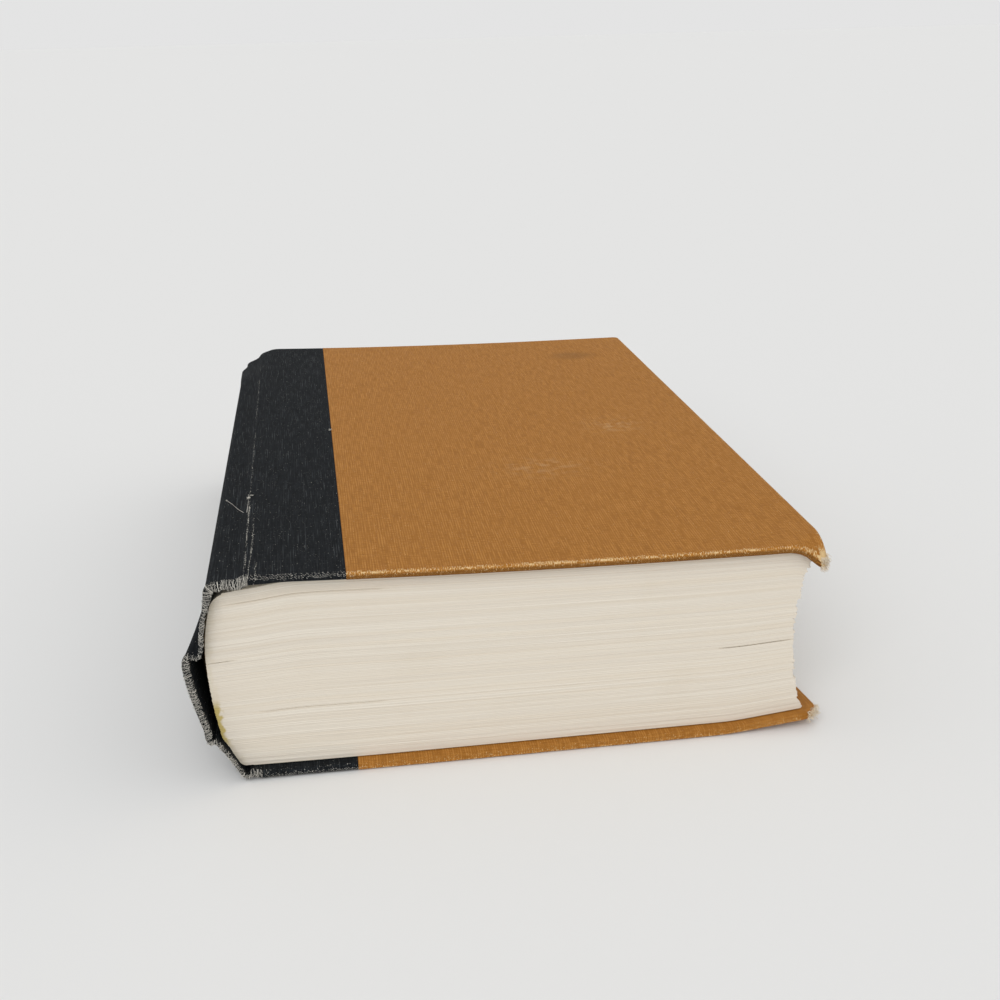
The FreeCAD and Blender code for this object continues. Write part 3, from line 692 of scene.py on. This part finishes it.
def side_cloth_parts(form):
    """The ochre cloth of one cover and the worn threads along its edges."""
    reach = 3.3 if form.front else 5.0
    x = np.concatenate([[quarter - 0.1, quarter - 0.06],
                        np.linspace(quarter + 0.3, cover_width - reach, 84)])
    y = np.linspace(tail + reach, half_cover - reach, 160)
    lip = np.where(x < quarter - 0.08, -0.09, 0.05)
    gx, gy = np.meshgrid(x, y)
    face = form.place(gx, gy, board + cloth + lip[None, :])
    fan = np.linspace(0, 90, 10)
    rim_x = np.concatenate([x[:-1], np.full(10, x[-1]), np.full(len(y) - 2, x[-1]),
                            np.full(10, x[-1]), x[:-1][::-1]])
    rim_y = np.concatenate([np.full(len(x) - 1, y[0]), np.full(10, y[0]), y[1:-1],
                            np.full(10, y[-1]), np.full(len(x) - 1, y[-1])])
    angle = np.radians(np.concatenate([np.full(len(x) - 1, -90.0), fan - 90,
                                       np.zeros(len(y) - 2), fan,
                                       np.full(len(x) - 1, 90.0)]))
    rounding = np.where(rim_y < 0, form.tip + cloth, 1.4 + cloth)
    in_fan = (np.abs(np.cos(angle)) > 1e-6) & (np.abs(np.sin(angle)) > 1e-6)
    tucked = rim_x < quarter - 0.08
    high, low = edge_profile(reach, 0.05), edge_profile(reach, -0.09)
    e = np.where(tucked, low[:, :1], high[:, :1])
    w = np.where(tucked, low[:, 1:], high[:, 1:])
    level = np.maximum(e, 0)
    soft = np.minimum(rounding, level)
    square = level - soft
    way_x, way_y = np.cos(angle), np.sin(angle)
    main_x, main_y = np.round(way_x), np.round(way_y)
    push_x = np.where(in_fan, square, square * main_x) + soft * way_x
    push_y = np.where(in_fan, square * np.sign(rim_y), square * main_y) + soft * way_y
    back_in = np.minimum(e, 0)
    bx = quarter + (rim_x - quarter) * (1 + back_in / (x[-1] - quarter))
    by = rim_y * (1 + back_in / y[-1])
    px, py = bx + push_x, by + push_y
    ring = np.arange(len(rim_x))
    py = py + 0.05 * wander(ring, 2.0, 51) * smooth(1.5, 3.0, e) * main_y
    band = form.place(px, py, w)
    run = length_along(high)
    pattern_x = rim_x + run[:, None] * main_x
    pattern_y = rim_y + run[:, None] * main_y
    top = board + cloth
    worn = 0.14 + 0.07 * wander(ring, 3.0, 52)
    if not form.front:
        worn = 0.5 * worn
    ridge = smooth(reach - 1.1, reach - 0.5, e) * smooth(top - 0.75, top - 0.35, w)
    wear = ridge * worn + 0.08 * smooth(reach - 0.3, reach, e) * smooth(-0.3, 0.3, w)

    def by_corner(at_x, at_y):
        return 0.5 * smooth(4.5, 1.0, np.hypot(at_x - cover_width, at_y - tail))

    wear = np.maximum(wear, by_corner(px, py) * smooth(-0.3, 0.1, w))
    # Painted shade: the underside of the folded edge, below its ridge, is darkened in the
    # colour, more weakly on the back cover
    under = smooth(reach - 0.6, reach, e) * smooth(top - 0.45, top - 1.1, w)
    under = under * (0.85 if form.front else 0.2)
    parts = [grid_part(face, wear=by_corner(gx, gy), pattern_v=on_cloth(gx, gy),
                       **(marks(gx + edge_x, gy) if form.front else {})),
             grid_part(band, wear=wear, under=under,
                       pattern_v=on_cloth(pattern_x, pattern_y))]
    pick = np.random.default_rng(61 if form.front else 62)
    along = length_along(np.stack([rim_x, rim_y], -1))
    spots = np.arange(along[2], along[len(x) + 6], 0.6)
    spots = spots[pick.uniform(0, 1, len(spots)) < 0.8]
    at = np.interp(spots, along + 0.01 * ring, ring)
    t = np.linspace(0, 1, 4)[None, :]
    row = pick.uniform(4.0, 6.5, len(at))[:, None] + 2.2 * t
    stitched = on_grid(band, row, at[:, None] + 0 * t)
    stitched += pick.normal(0, 0.02, stitched.shape)
    parts += threads(stitched, 0.07, pick.uniform(0.2, 1.0, len(at)))
    tips = band[7:14, len(x) + 1:len(x) + 8].reshape(-1, 3)
    middle = form.place(cover_width - 7, tail + 7, board / 2)
    return parts + loose_ends(tips, unit(tips - middle), 150, 1.9, 0.1, 1.0, 71)


def sheet_part(form, edge, far, half, low, high):
    """A closed thin sheet on a cover's curve between two heights w, as one part."""
    x = np.concatenate([np.linspace(edge, 8.0, 16), np.linspace(10.0, far, 34)])
    gx, gy = np.meshgrid(x, np.linspace(-half, half, 90))
    return closed_sheet(form.place(gx, gy, high), form.place(gx, gy, low))


def closed_sheet(upper, lower):
    """Two grids of one shape joined round their rims."""
    rims = [np.stack([upper[line], lower[line]])
            for line in (0, -1, np.s_[:, 0], np.s_[:, -1])]
    return [grid_part(points) for points in [upper, lower] + rims]


def flyleaf_part(low, high):
    """The loose endpaper leaf, lying on the uppermost leaf of the block."""
    gx, gy = np.meshgrid(np.linspace(low[0], high[0], 60), np.linspace(low[1], high[1], 90))
    z = block_top(gx, gy)
    return closed_sheet(np.stack([gx, gy, z + paper], -1), np.stack([gx, gy, z + 0.01], -1))


# The block of leaves
def circle_through(points):
    """Centre and radius of the circle through three points."""
    a, b, c = np.array(points)
    x, z = np.linalg.solve(2 * np.array([b - a, c - a]), [b @ b - a @ a, c @ c - a @ a])
    return x, z, math.dist(a, (x, z))


def fore_x(z):
    """The hollow fore-edge at height z, an arc through its top, middle and bottom."""
    cx, cz, size = circle_through(fore_arc)
    return cx - np.sqrt(size ** 2 - (z - cz) ** 2)


def block_top(x, y):
    """Height of the uppermost leaf: it follows the cover, then dips to the shoulder."""
    follow = front.place(x - edge_x, y, -block_face)[..., 2]
    start = front.place(dip_start, 0.0, -block_face)
    slope = (start[2] - dip_top[1]) / (start[0] - dip_top[0])
    line = np.where(x > dip_top[0], dip_top[1] + slope * (x - dip_top[0]),
                    dip_top[1] + (x - dip_top[0]) * (dip_top[1] - shoulder)
                    / (dip_top[0] + 72.0))
    apart = follow - line
    return follow - 0.5 * (apart + np.sqrt(apart ** 2 + 0.9 ** 2))


def block_bottom(x, y):
    """Height of the lowest leaf, which follows the back cover."""
    return back.place(np.maximum(x - edge_x, 0.0), y, -block_face)[..., 2]


def back_of_leaf(level, y):
    """Where a leaf at this share of the thickness meets the spine."""
    low = block_bottom(np.full_like(y, -69.0), y)
    high = block_top(np.full_like(y, -69.0), y)
    z = low + level * (high - low)
    over = np.clip(z - (shoulder - shoulder_rounding), 0, shoulder_rounding * 0.97)
    curve = shoulder_rounding - np.sqrt(shoulder_rounding ** 2 - over ** 2)
    foot = np.clip(low + 1.0 - z, 0, 0.97)
    curve = curve + 1.0 - np.sqrt(1.0 - foot ** 2)
    return spine_x(z) + drift(y) + curve


def block_part():
    """The leaves as stacked rings round the block, pushed in and out leaf by leaf.

    A ring at a share q of the thickness lies at z = bottom + q (top - bottom). Odd
    rings are the edges of small packs of leaves, even ones the hollows between packs.
    """
    pick = np.random.default_rng(11)
    packs = 118
    thick = pick.uniform(0.6, 1.4, packs)
    joints = np.concatenate([[0], np.cumsum(thick)]) / thick.sum()
    levels = np.empty(2 * packs + 1)
    levels[0::2] = joints
    levels[1::2] = (joints[:-1] + joints[1:]) / 2
    rim = np.arange(2 * packs + 1)
    pack = np.minimum(rim // 2, packs - 1)
    hollow = (rim % 2 == 0)
    hollow[[0, -1]] = False
    deep = pick.uniform(0.01, 0.045, packs + 1)
    step_tail = pick.normal(0, 0.014, packs)
    step_head = pick.normal(0, 0.02, packs)
    group = np.repeat(pick.normal(0, 0.2, packs // 6 + 1), 6)[:packs]
    step_fore = pick.normal(0, 0.17, packs) + group
    rough_back = smooth(0.05, 0.12, levels) * smooth(0.7, 0.5, levels)
    notch = (0.12 * hollow + 0.16 * pick.uniform(0, 1, packs)[pack]) * rough_back

    def pushed(step, along, seed, gaps=()):
        """How far each ring stands out at places along a side, in millimetres."""
        base = step[pack][:, None] - (deep[rim // 2] * hollow)[:, None]
        noise = np.array([wander(along, 9.0, seed + k) for k in range(packs)])[pack]
        base = base + 0.02 * noise
        for share, start, end, depth in gaps:
            ring = int(np.argmin(np.abs(levels - share) + 9 * ~hollow))
            window = smooth(start - 6, start + 2, along) * smooth(end + 3, end - 3, along)
            base[ring] -= depth * window
        return base

    columns = 92
    ends = 52
    share = np.linspace(0, 1, columns)
    up = np.linspace(0, 1, ends)
    q = levels[:, None]
    x_guess = -72 + share * 148
    tail_gaps = ((0.45, 61, 74, 1.2), (0.93, -66, -30, 0.35), (0.3, -60, -30, 0.3),
                 (0.62, -70, -66, 0.5))
    y_tail = -(half_leaf + pushed(step_tail, x_guess, 100, tail_gaps))
    y_head = half_leaf + pushed(step_head, x_guess, 400)
    y_sides = -half_leaf + up * 2 * half_leaf
    z_low, z_high = block_bottom(75.0, 0.0), block_top(75.0, 0.0)
    z_near = z_low + levels * (z_high - z_low)
    fore_gaps = ((0.58, -115, -90, 1.0), (0.3, -115, -40, 0.8), (0.81, -60, 60, 0.8))
    x_fore = fore_x(z_near)[:, None] + pushed(step_fore, y_sides, 700, fore_gaps)

    def leaf(x, y):
        low, high = block_bottom(x, y), block_top(x, y)
        return low + q * (high - low)

    def side(y, far_x):
        x_back = back_of_leaf(q, y) + notch[:, None]
        x = x_back + share * (far_x - x_back)
        return np.stack([x, y, leaf(x, y)], -1)

    tail_side = side(y_tail, x_fore[:, :1])
    head_side = side(y_head, x_fore[:, -1:])
    y_fore = y_tail[:, -1:] + up * (y_head[:, -1:] - y_tail[:, -1:])
    fore_side = np.stack([x_fore, y_fore, leaf(x_fore, y_fore)], -1)
    y_back = y_tail[:, :1] + up * (y_head[:, :1] - y_tail[:, :1])
    x_back = back_of_leaf(q, y_back) + notch[:, None]
    back_side = np.stack([x_back, y_back, leaf(x_back, y_back)], -1)
    ring = np.concatenate([tail_side[:, :-1], fore_side[:, :-1], head_side[:, :0:-1],
                           back_side[:, ::-1]], 1)
    across = np.concatenate([share[:-1], np.ones(ends - 1), share[:0:-1], np.zeros(ends)])
    # deep marks the hollow rings, which the page edges' colour darkens as painted shade
    parts = [grid_part(ring, level=q, across=across, deep=1.0 * hollow[:, None])]
    for k, surface in ((0, block_bottom), (-1, block_top)):
        near, far = tail_side[k], head_side[k]
        y = near[:, 1] + up[:, None] * (far[:, 1] - near[:, 1])
        x_b, x_f = back_side[k][:, :1], fore_side[k][:, :1]
        x = x_b + share * (x_f - x_b)
        cap = np.stack([x, y, surface(x, y)], -1)
        cap[0], cap[-1] = near, far
        cap[:, 0], cap[:, -1] = back_side[k], fore_side[k]
        parts.append(grid_part(cap, level=float(k != 0), across=share, deep=0.0))
    return parts


# Materials
SOFT = {"interpolation_type": "SMOOTHSTEP"}
TIMES = {"operation": "MULTIPLY"}
PLUS = {"operation": "ADD"}
# Book cloth has threads every 0.4 mm. They are drawn coarser so that they still show.
thread_pitch = 0.62 * MM
# Gauze of the kind that holds a spine has open holes of this size
mesh_pitch = 1.2 * MM


def colour(code):
    """A hex colour of the screen as the linear colour that the renderer uses."""
    parts = [int(code[i:i + 2], 16) / 255 for i in (1, 3, 5)]
    linear = [p / 12.92 if p <= 0.04045 else ((p + 0.055) / 1.055) ** 2.4 for p in parts]
    return (*linear, 1.0)


def add(tree, kind, sockets=None, out=0, **settings):
    """A node with its settings; gives one of its outputs.

    A socket value that is itself a socket is linked, any other value is set.
    """
    node = tree.nodes.new("ShaderNode" + kind)
    for key, value in settings.items():
        setattr(node, key, value)
    for key, value in (sockets or {}).items():
        if isinstance(value, bpy.types.NodeSocket):
            tree.links.new(value, node.inputs[key])
        else:
            node.inputs[key].default_value = value
    return node.outputs[out] if len(node.outputs) else None


def begin(name, roughness, specular=0.5):
    """A new material; gives it, its node tree and its main shader."""
    material = bpy.data.materials.new(name)
    material.use_nodes = True
    tree = material.node_tree
    tree.nodes.clear()
    surface = add(tree, "BsdfPrincipled", {"Roughness": roughness,
                                           "Specular IOR Level": specular})
    add(tree, "OutputMaterial", {"Surface": surface})
    return material, tree, surface.node


def finish(tree, shader, tint, height, strength, depth):
    """The colour and the relief go into the shader."""
    relief = add(tree, "Bump", {"Height": height, "Strength": strength, "Distance": depth})
    tree.links.new(tint, shader.inputs["Base Color"])
    tree.links.new(relief, shader.inputs["Normal"])


def laid_over(tree, tint, code, share, limits=None, most=1.0, least=0.0):
    """The tint with a colour over it, as much as the share says.

    With limits, the share is instead a pattern: the colour's part rises in a soft step
    from least to most while the pattern rises from the first limit to the second.
    """
    if limits:
        share = add(tree, "MapRange", {0: share, 1: limits[0], 2: limits[1], 3: least,
                                       4: most}, **SOFT)
    return add(tree, "Mix", {0: share, 6: tint, 7: colour(code)}, 2, data_type="RGBA")


def stretched_noise(tree, place, across, down, detail):
    """Smooth random values with across and down patches to the metre."""
    scaled = add(tree, "VectorMath", {0: place, 1: (across, down, 1.0)}, **TIMES)
    return add(tree, "TexNoise", {"Vector": scaled, "Scale": 1.0, "Detail": detail})


def ripples(tree, place, pitch):
    """Two sine waves of the place, one along each of its first two axes."""
    waves = []
    for axis in add(tree, "SeparateXYZ", {0: place}).node.outputs[:2]:
        turns = add(tree, "Math", {0: axis, 1: 2 * math.pi / pitch}, **TIMES)
        waves.append(add(tree, "Math", {0: turns}, operation="SINE"))
    return waves


def book_cloth(name, ground, pale, deep, roughness, specular):
    """A filled cloth in plain weave, with slubs both ways and soft patches of filler.

    The weave is sin(2 pi u / pitch) times sin(2 pi v / pitch). The cloth is bare where a
    fine grain plus the wear of the place passes a limit, so that worn places break up
    into threads. Gives the material, its tree and shader, and a dict of its patterns.
    """
    material, tree, shader = begin(name, roughness, specular)
    place = add(tree, "Attribute", out=1, attribute_name="pattern_v")
    warp, weft = ripples(tree, place, thread_pitch)
    weave = add(tree, "Math", {0: warp, 1: weft}, **TIMES)
    slubs = add(tree, "Math", {0: stretched_noise(tree, place, 2600.0, 130.0, 1.0),
                               1: stretched_noise(tree, place, 400.0, 2600.0, 1.0)}, **PLUS)
    patch = add(tree, "TexNoise", {"Vector": place, "Scale": 28.0, "Detail": 4.0,
                                   "Roughness": 0.6})
    tint = laid_over(tree, colour(deep), pale, slubs, (0.75, 1.25))
    tint = laid_over(tree, tint, ground, patch, (0.3, 0.7), 0.55)
    tint = laid_over(tree, tint, pale, weave, (-0.9, 0.9), 0.6)
    wear = add(tree, "Attribute", out=2, attribute_name="wear")
    grain = stretched_noise(tree, place, 4600.0, 1500.0, 1.0)
    bare = add(tree, "MapRange", {0: add(tree, "Math", {0: grain, 1: wear}, **PLUS),
                                  1: 0.7, 2: 0.8}, **SOFT)
    height = add(tree, "Math", {0: weave, 1: 0.6}, **TIMES)
    height = add(tree, "Math", {0: height, 1: slubs}, **PLUS)
    return material, tree, shader, {"place": place, "warp": warp, "weave": weave,
                                    "slubs": slubs, "tint": tint, "bare": bare,
                                    "height": height}


def black_cloth():
    """Near-black starch-filled cotton, calendered: dull, with fine paler threads that run
    from head to tail and bare grey cotton where it is rubbed."""
    material, tree, shader, made = book_cloth("black_book_cloth", "#141618", "#222528",
                                              "#0b0c0d", 0.75, 0.04)
    lines = stretched_noise(tree, made["place"], 3300.0, 100.0, 2.0)
    clumps = add(tree, "TexNoise", {"Vector": made["place"], "Scale": 45.0})
    share = add(tree, "MapRange", {0: lines, 1: 0.5, 2: 0.72, 4: 0.3}, **SOFT)
    dense = add(tree, "MapRange", {0: clumps, 1: 0.35, 2: 0.65, 3: 0.6, 4: 1.0}, **SOFT)
    raised = add(tree, "MapRange", {0: made["warp"], 1: -0.2, 2: 0.9}, **SOFT)
    for pattern in (dense, raised):
        share = add(tree, "Math", {0: share, 1: pattern}, **TIMES)
    tint = laid_over(tree, made["tint"], "#74787a", share)
    tint = laid_over(tree, tint, "#b9b6ad", made["bare"])
    finish(tree, shader, tint, made["height"], 0.5, 0.12 * MM)
    return material


def ochre_cloth():
    """Ochre starch-filled cotton: matt, with paler warp threads, a dark soft stain, two
    pale scuffs, painted shade on the underside of the folded edge and bare threads on its
    ridge."""
    material, tree, shader, made = book_cloth("ochre_book_cloth", "#9c6625", "#a86f2b",
                                              "#8f5c20", 0.7, 0.15)
    lines = stretched_noise(tree, made["place"], 2000.0, 90.0, 2.0)
    tint = laid_over(tree, made["tint"], "#c98f48", lines, (0.55, 0.75), 0.22)
    uneven = add(tree, "MapRange", {0: made["slubs"], 1: 0.8, 2: 1.2, 3: -0.8, 4: 0.8},
                 **SOFT)
    warp = add(tree, "Math", {0: made["warp"], 1: uneven}, **PLUS)
    tint = laid_over(tree, tint, "#cc9550", warp, (-0.2, 1.6), 0.38)
    blots, smears = (add(tree, "TexNoise", {"Vector": made["place"], "Scale": scale,
                                            "Detail": 3.0}) for scale in (160.0, 300.0))
    # under is painted shade: the underside of the folded edge darkened, broken by the weave
    for name, pattern, low, high, least, most, code in (
            ("under", made["weave"], -0.4, 0.6, 1.0, 0.4, "#4f3213"),
            ("stain", blots, 0.2, 0.8, 0.3, 0.6, "#7d5526"),
            ("scuff", smears, 0.4, 0.75, 0.0, 0.4, "#d0b184")):
        broken = add(tree, "MapRange", {0: pattern, 1: low, 2: high, 3: least, 4: most},
                     **SOFT)
        there = add(tree, "Attribute", out=2, attribute_name=name)
        tint = laid_over(tree, tint, code,
                         add(tree, "Math", {0: there, 1: broken}, **TIMES))
    tint = laid_over(tree, tint, "#e2c694",
                     add(tree, "Math", {0: made["bare"], 1: 0.8}, **TIMES))
    finish(tree, shader, tint, made["height"], 0.4, 0.12 * MM)
    return material


def bare_threads(name, pale, deep):
    """Unfilled cotton thread ends: quite matt, each thread its own tone between two."""
    material, tree, shader = begin(name, 0.9)
    shade = add(tree, "Attribute", out=2, attribute_name="shade")
    tint = laid_over(tree, colour(deep), pale, shade)
    tree.links.new(tint, shader.inputs["Base Color"])
    return material


def page_edges():
    """Aged uncoated paper cut by the guillotine and seen on edge: matt and cream, with a fine
    line for each few leaves, broad tone bands, painted shade in the hollows between packs
    and yellow glue by the spine."""
    material, tree, shader = begin("page_edges", 0.9)
    level = add(tree, "Attribute", out=2, attribute_name="level")
    across = add(tree, "Attribute", out=2, attribute_name="across")
    hollow = add(tree, "Attribute", out=2, attribute_name="deep")
    place = add(tree, "TexCoord", out=3)
    axes = add(tree, "SeparateXYZ", {0: place}).node.outputs
    noises = []
    for along, leaves_high in ((14.0, 430.0), (6.0, 46.0)):
        spot = [add(tree, "Math", {0: value, 1: scale}, **TIMES) for value, scale in
                ((axes[0], along), (axes[1], along), (level, leaves_high))]
        spot = add(tree, "CombineXYZ", dict(enumerate(spot)))
        noises.append(add(tree, "TexNoise", {"Vector": spot, "Scale": 1.0, "Detail": 2.0}))
    fine, broad = noises
    dust = add(tree, "TexNoise", {"Vector": place, "Scale": 45.0, "Detail": 4.0,
                                  "Roughness": 0.6})
    tint = laid_over(tree, colour("#d2c9bb"), "#dfd8cb", fine, (0.3, 0.7))
    tint = laid_over(tree, tint, "#d6cab7", broad, (0.35, 0.7), 0.4)
    tint = laid_over(tree, tint, "#c4b79f", dust, (0.5, 0.8), 0.14)
    # Painted shade: the hollows between packs of leaves are made a little darker
    tint = laid_over(tree, tint, "#a89a80",
                     add(tree, "Math", {0: hollow, 1: 0.07}, **TIMES))
    above = add(tree, "MapRange", {0: level, 1: 0.1, 2: 0.18}, **SOFT)
    below = add(tree, "MapRange", {0: level, 1: 0.34, 2: 0.42, 3: 1.0, 4: 0.0}, **SOFT)
    low_part = add(tree, "Math", {0: above, 1: below}, **TIMES)
    noise = add(tree, "TexNoise", {"Vector": place, "Scale": 500.0, "Detail": 2.0})
    lumps = add(tree, "MapRange", {0: noise, 1: 0.35, 2: 0.65, 3: -0.004, 4: 0.004}, **SOFT)
    edge = add(tree, "Math", {0: across, 1: lumps}, **PLUS)
    by_spine = add(tree, "MapRange", {0: edge, 1: 0.005, 2: 0.013, 3: 0.85, 4: 0.0}, **SOFT)
    low_part = add(tree, "Math", {0: low_part, 1: 0.12}, **PLUS)
    glue = add(tree, "Math", {0: by_spine, 1: low_part}, use_clamp=True, **TIMES)
    tint = laid_over(tree, tint, "#b3a05c", glue)
    finish(tree, shader, tint, fine, 0.15, 0.1 * MM)
    return material


def plain_sheet(name, pale, deep, clouds, roughness):
    """Rolled paper or board: one flat colour with soft clouds and a fine felt relief."""
    material, tree, shader = begin(name, roughness)
    place = add(tree, "TexCoord", out=3)
    noise = add(tree, "TexNoise", {"Vector": place, "Scale": clouds, "Detail": 5.0,
                                   "Roughness": 0.6})
    tint = laid_over(tree, colour(deep), pale, noise, (0.3, 0.7))
    felt = add(tree, "TexNoise", {"Vector": place, "Scale": 2600.0, "Detail": 3.0})
    finish(tree, shader, tint, felt, 0.3, 0.1 * MM)
    return material


def sized_gauze():
    """Open cotton gauze stiffened with size: a mesh of threads over dark holes, matt."""
    material, tree, shader = begin("mull", 0.85)
    one, other = ripples(tree, add(tree, "TexCoord", out=3), mesh_pitch)
    mesh = add(tree, "Math", {0: one, 1: other}, **TIMES)
    tint = laid_over(tree, colour("#8f8468"), "#cfc4a6", mesh, (-0.6, 0.8))
    finish(tree, shader, tint, mesh, 0.4, 0.1 * MM)
    return material


black = black_cloth()
ochre = ochre_cloth()
grey_threads = bare_threads("worn_black_threads", "#dcd8ce", "#3a3a39")
tan_threads = bare_threads("worn_ochre_threads", "#e9dcc6", "#a9783c")
pages = page_edges()
endpaper = plain_sheet("endpaper", "#dcd3c1", "#d6ccb8", 30.0, 0.88)
lining = plain_sheet("spine_lining_paper", "#b09468", "#8f744b", 60.0, 0.9)
card = plain_sheet("spine_card", "#9c8a6c", "#857457", 60.0, 0.9)
greyboard = plain_sheet("binders_board", "#8d8271", "#7a6f5f", 90.0, 0.92)
gauze = sized_gauze()


# Pieces
rows, grid, columns, seam, strip_x = dark_cloth_grid()
front_dark = make_piece("dark_cloth_front", dark_cloth_parts(
    grid[:, :seam + 1], rows, columns[:seam + 1], strip_x[:seam + 1], True),
    [black, grey_threads])
back_dark = make_piece("dark_cloth_back", dark_cloth_parts(
    grid[:, seam:], rows, columns[seam:], strip_x[seam:], False), [black, grey_threads])
front_ochre = make_piece("ochre_cloth_front", side_cloth_parts(front), [ochre, tan_threads],
                         weld=0.004)
back_ochre = make_piece("ochre_cloth_back", side_cloth_parts(back), [ochre, tan_threads],
                        weld=0.004)
leaves = make_piece("leaves", block_part(), [pages], soft=False, weld=0.004)
paste_low, paste_high = box_mm("front_pastedown")
paste_edge = paste_low[0] - edge_x
board_far = board_high[0] - edge_x
pastedown_margin = 3.8
board_inset = 1.2  # keeps the board inside the cloth that wraps round its edges
_, wing_high = box_mm("front_mull_wing")
inside_sheets = {
    "front_pastedown": (endpaper, "endpaper", sheet_part(
        front, paste_edge, board_far - pastedown_margin, paste_high[1], -cloth - paper,
        -cloth)),
    "front_mull_wing": (gauze, "mull", sheet_part(
        front, paste_edge, wing_high[0] - edge_x, wing_high[1], -0.14, -0.03)),
    "front_board": (greyboard, "binders_board", sheet_part(
        front, 0.2, board_far - board_inset, board_high[1] - board_inset, 0.05,
        board - 0.1)),
    "front_flyleaf": (endpaper, "endpaper", flyleaf_part(*box_mm("front_flyleaf")))}
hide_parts("spine_cloth", "front_joint_cloth")
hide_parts("back_joint_cloth")
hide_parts("front_side_cloth")
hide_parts("back_side_cloth")
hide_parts("text_block")

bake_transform(front_dark)
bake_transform(back_dark)
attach(front_ochre, "front_cover")
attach(back_ochre, "back_cover")
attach(leaves, "book_block")
for name, (material, slot, parts) in inside_sheets.items():
    sheet = make_piece(name + "_worn", parts, [material], weld=0.002)
    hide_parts(name)
    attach(sheet, "book_block" if name == "front_flyleaf" else "front_cover")

looks = {"back_flyleaf": endpaper, "back_pastedown": endpaper, "spine_mull": gauze,
         "back_mull_wing": gauze, "spine_lining": lining, "spine_inlay": card,
         "back_board": greyboard}
for name, material in looks.items():
    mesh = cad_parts[name].data
    mesh.materials.clear()
    mesh.materials.append(material)


# Floor, light and camera
def stage():
    """A pale floor, one broad soft light high in front on the left, and a pale sky."""
    mesh = bpy.data.meshes.new("floor")
    size = 12.0
    level = -0.0002  # just below the book
    mesh.from_pydata([(-size, -size, level), (size, -size, level), (size, size, level),
                      (-size, size, level)], [], [(0, 1, 2, 3)])
    floor = bpy.data.objects.new("floor", mesh)
    bpy.context.scene.collection.objects.link(floor)
    material, _, shader = begin("floor_paper", 0.95)
    shader.inputs["Base Color"].default_value = colour("#e9e9e8")
    mesh.materials.append(material)
    world = bpy.data.worlds.new("sky")
    bpy.context.scene.world = world
    world.use_nodes = True
    tree = world.node_tree
    tree.nodes.clear()
    rays = add(tree, "LightPath").node.outputs
    seen = add(tree, "Math", {0: rays["Is Camera Ray"], 1: rays["Is Glossy Ray"]},
               operation="MAXIMUM")
    seen = add(tree, "Math", {0: seen, 1: rays["Is Transmission Ray"]},
               operation="MAXIMUM")
    strength = add(tree, "MapRange", {0: seen, 3: 0.68, 4: 0.774})
    sky = add(tree, "Background", {"Color": (1.0, 1.0, 1.0, 1.0), "Strength": strength})
    add(tree, "OutputWorld", {"Surface": sky})
    lamp = bpy.data.lights.new("softbox", "SUN")
    lamp.energy = 1.35
    lamp.angle = math.radians(50)
    light = bpy.data.objects.new("softbox", lamp)
    light.rotation_euler = Vector((0.24, 0.76, -0.62)).to_track_quat("-Z", "Y").to_euler()
    bpy.context.scene.collection.objects.link(light)


stage()


def make_camera():
    """The camera of the photograph: its place, its three angles and its lens."""
    yaw, pitch, roll = (math.radians(a) for a in (7.906, 19.715, -1.372))
    ahead = Vector((math.sin(yaw) * math.cos(pitch), math.cos(yaw) * math.cos(pitch),
                    -math.sin(pitch)))
    level = Vector((math.cos(yaw), -math.sin(yaw), 0))
    up = level.cross(ahead)
    right = level * math.cos(roll) + up * math.sin(roll)
    top = -level * math.sin(roll) + up * math.cos(roll)
    data = bpy.data.cameras.new("camera")
    data.lens = 48.66
    data.sensor_width = 36.0
    data.clip_start = 0.01
    data.clip_end = 50.0
    camera = bpy.data.objects.new("camera", data)
    turn = Matrix((right, top, -ahead)).transposed().to_4x4()
    camera.matrix_world = Matrix.Translation((-0.0441, -0.4150, 0.1766)) @ turn
    bpy.context.scene.collection.objects.link(camera)
    bpy.context.scene.camera = camera


make_camera()
bpy.context.scene.view_settings.view_transform = "Standard"
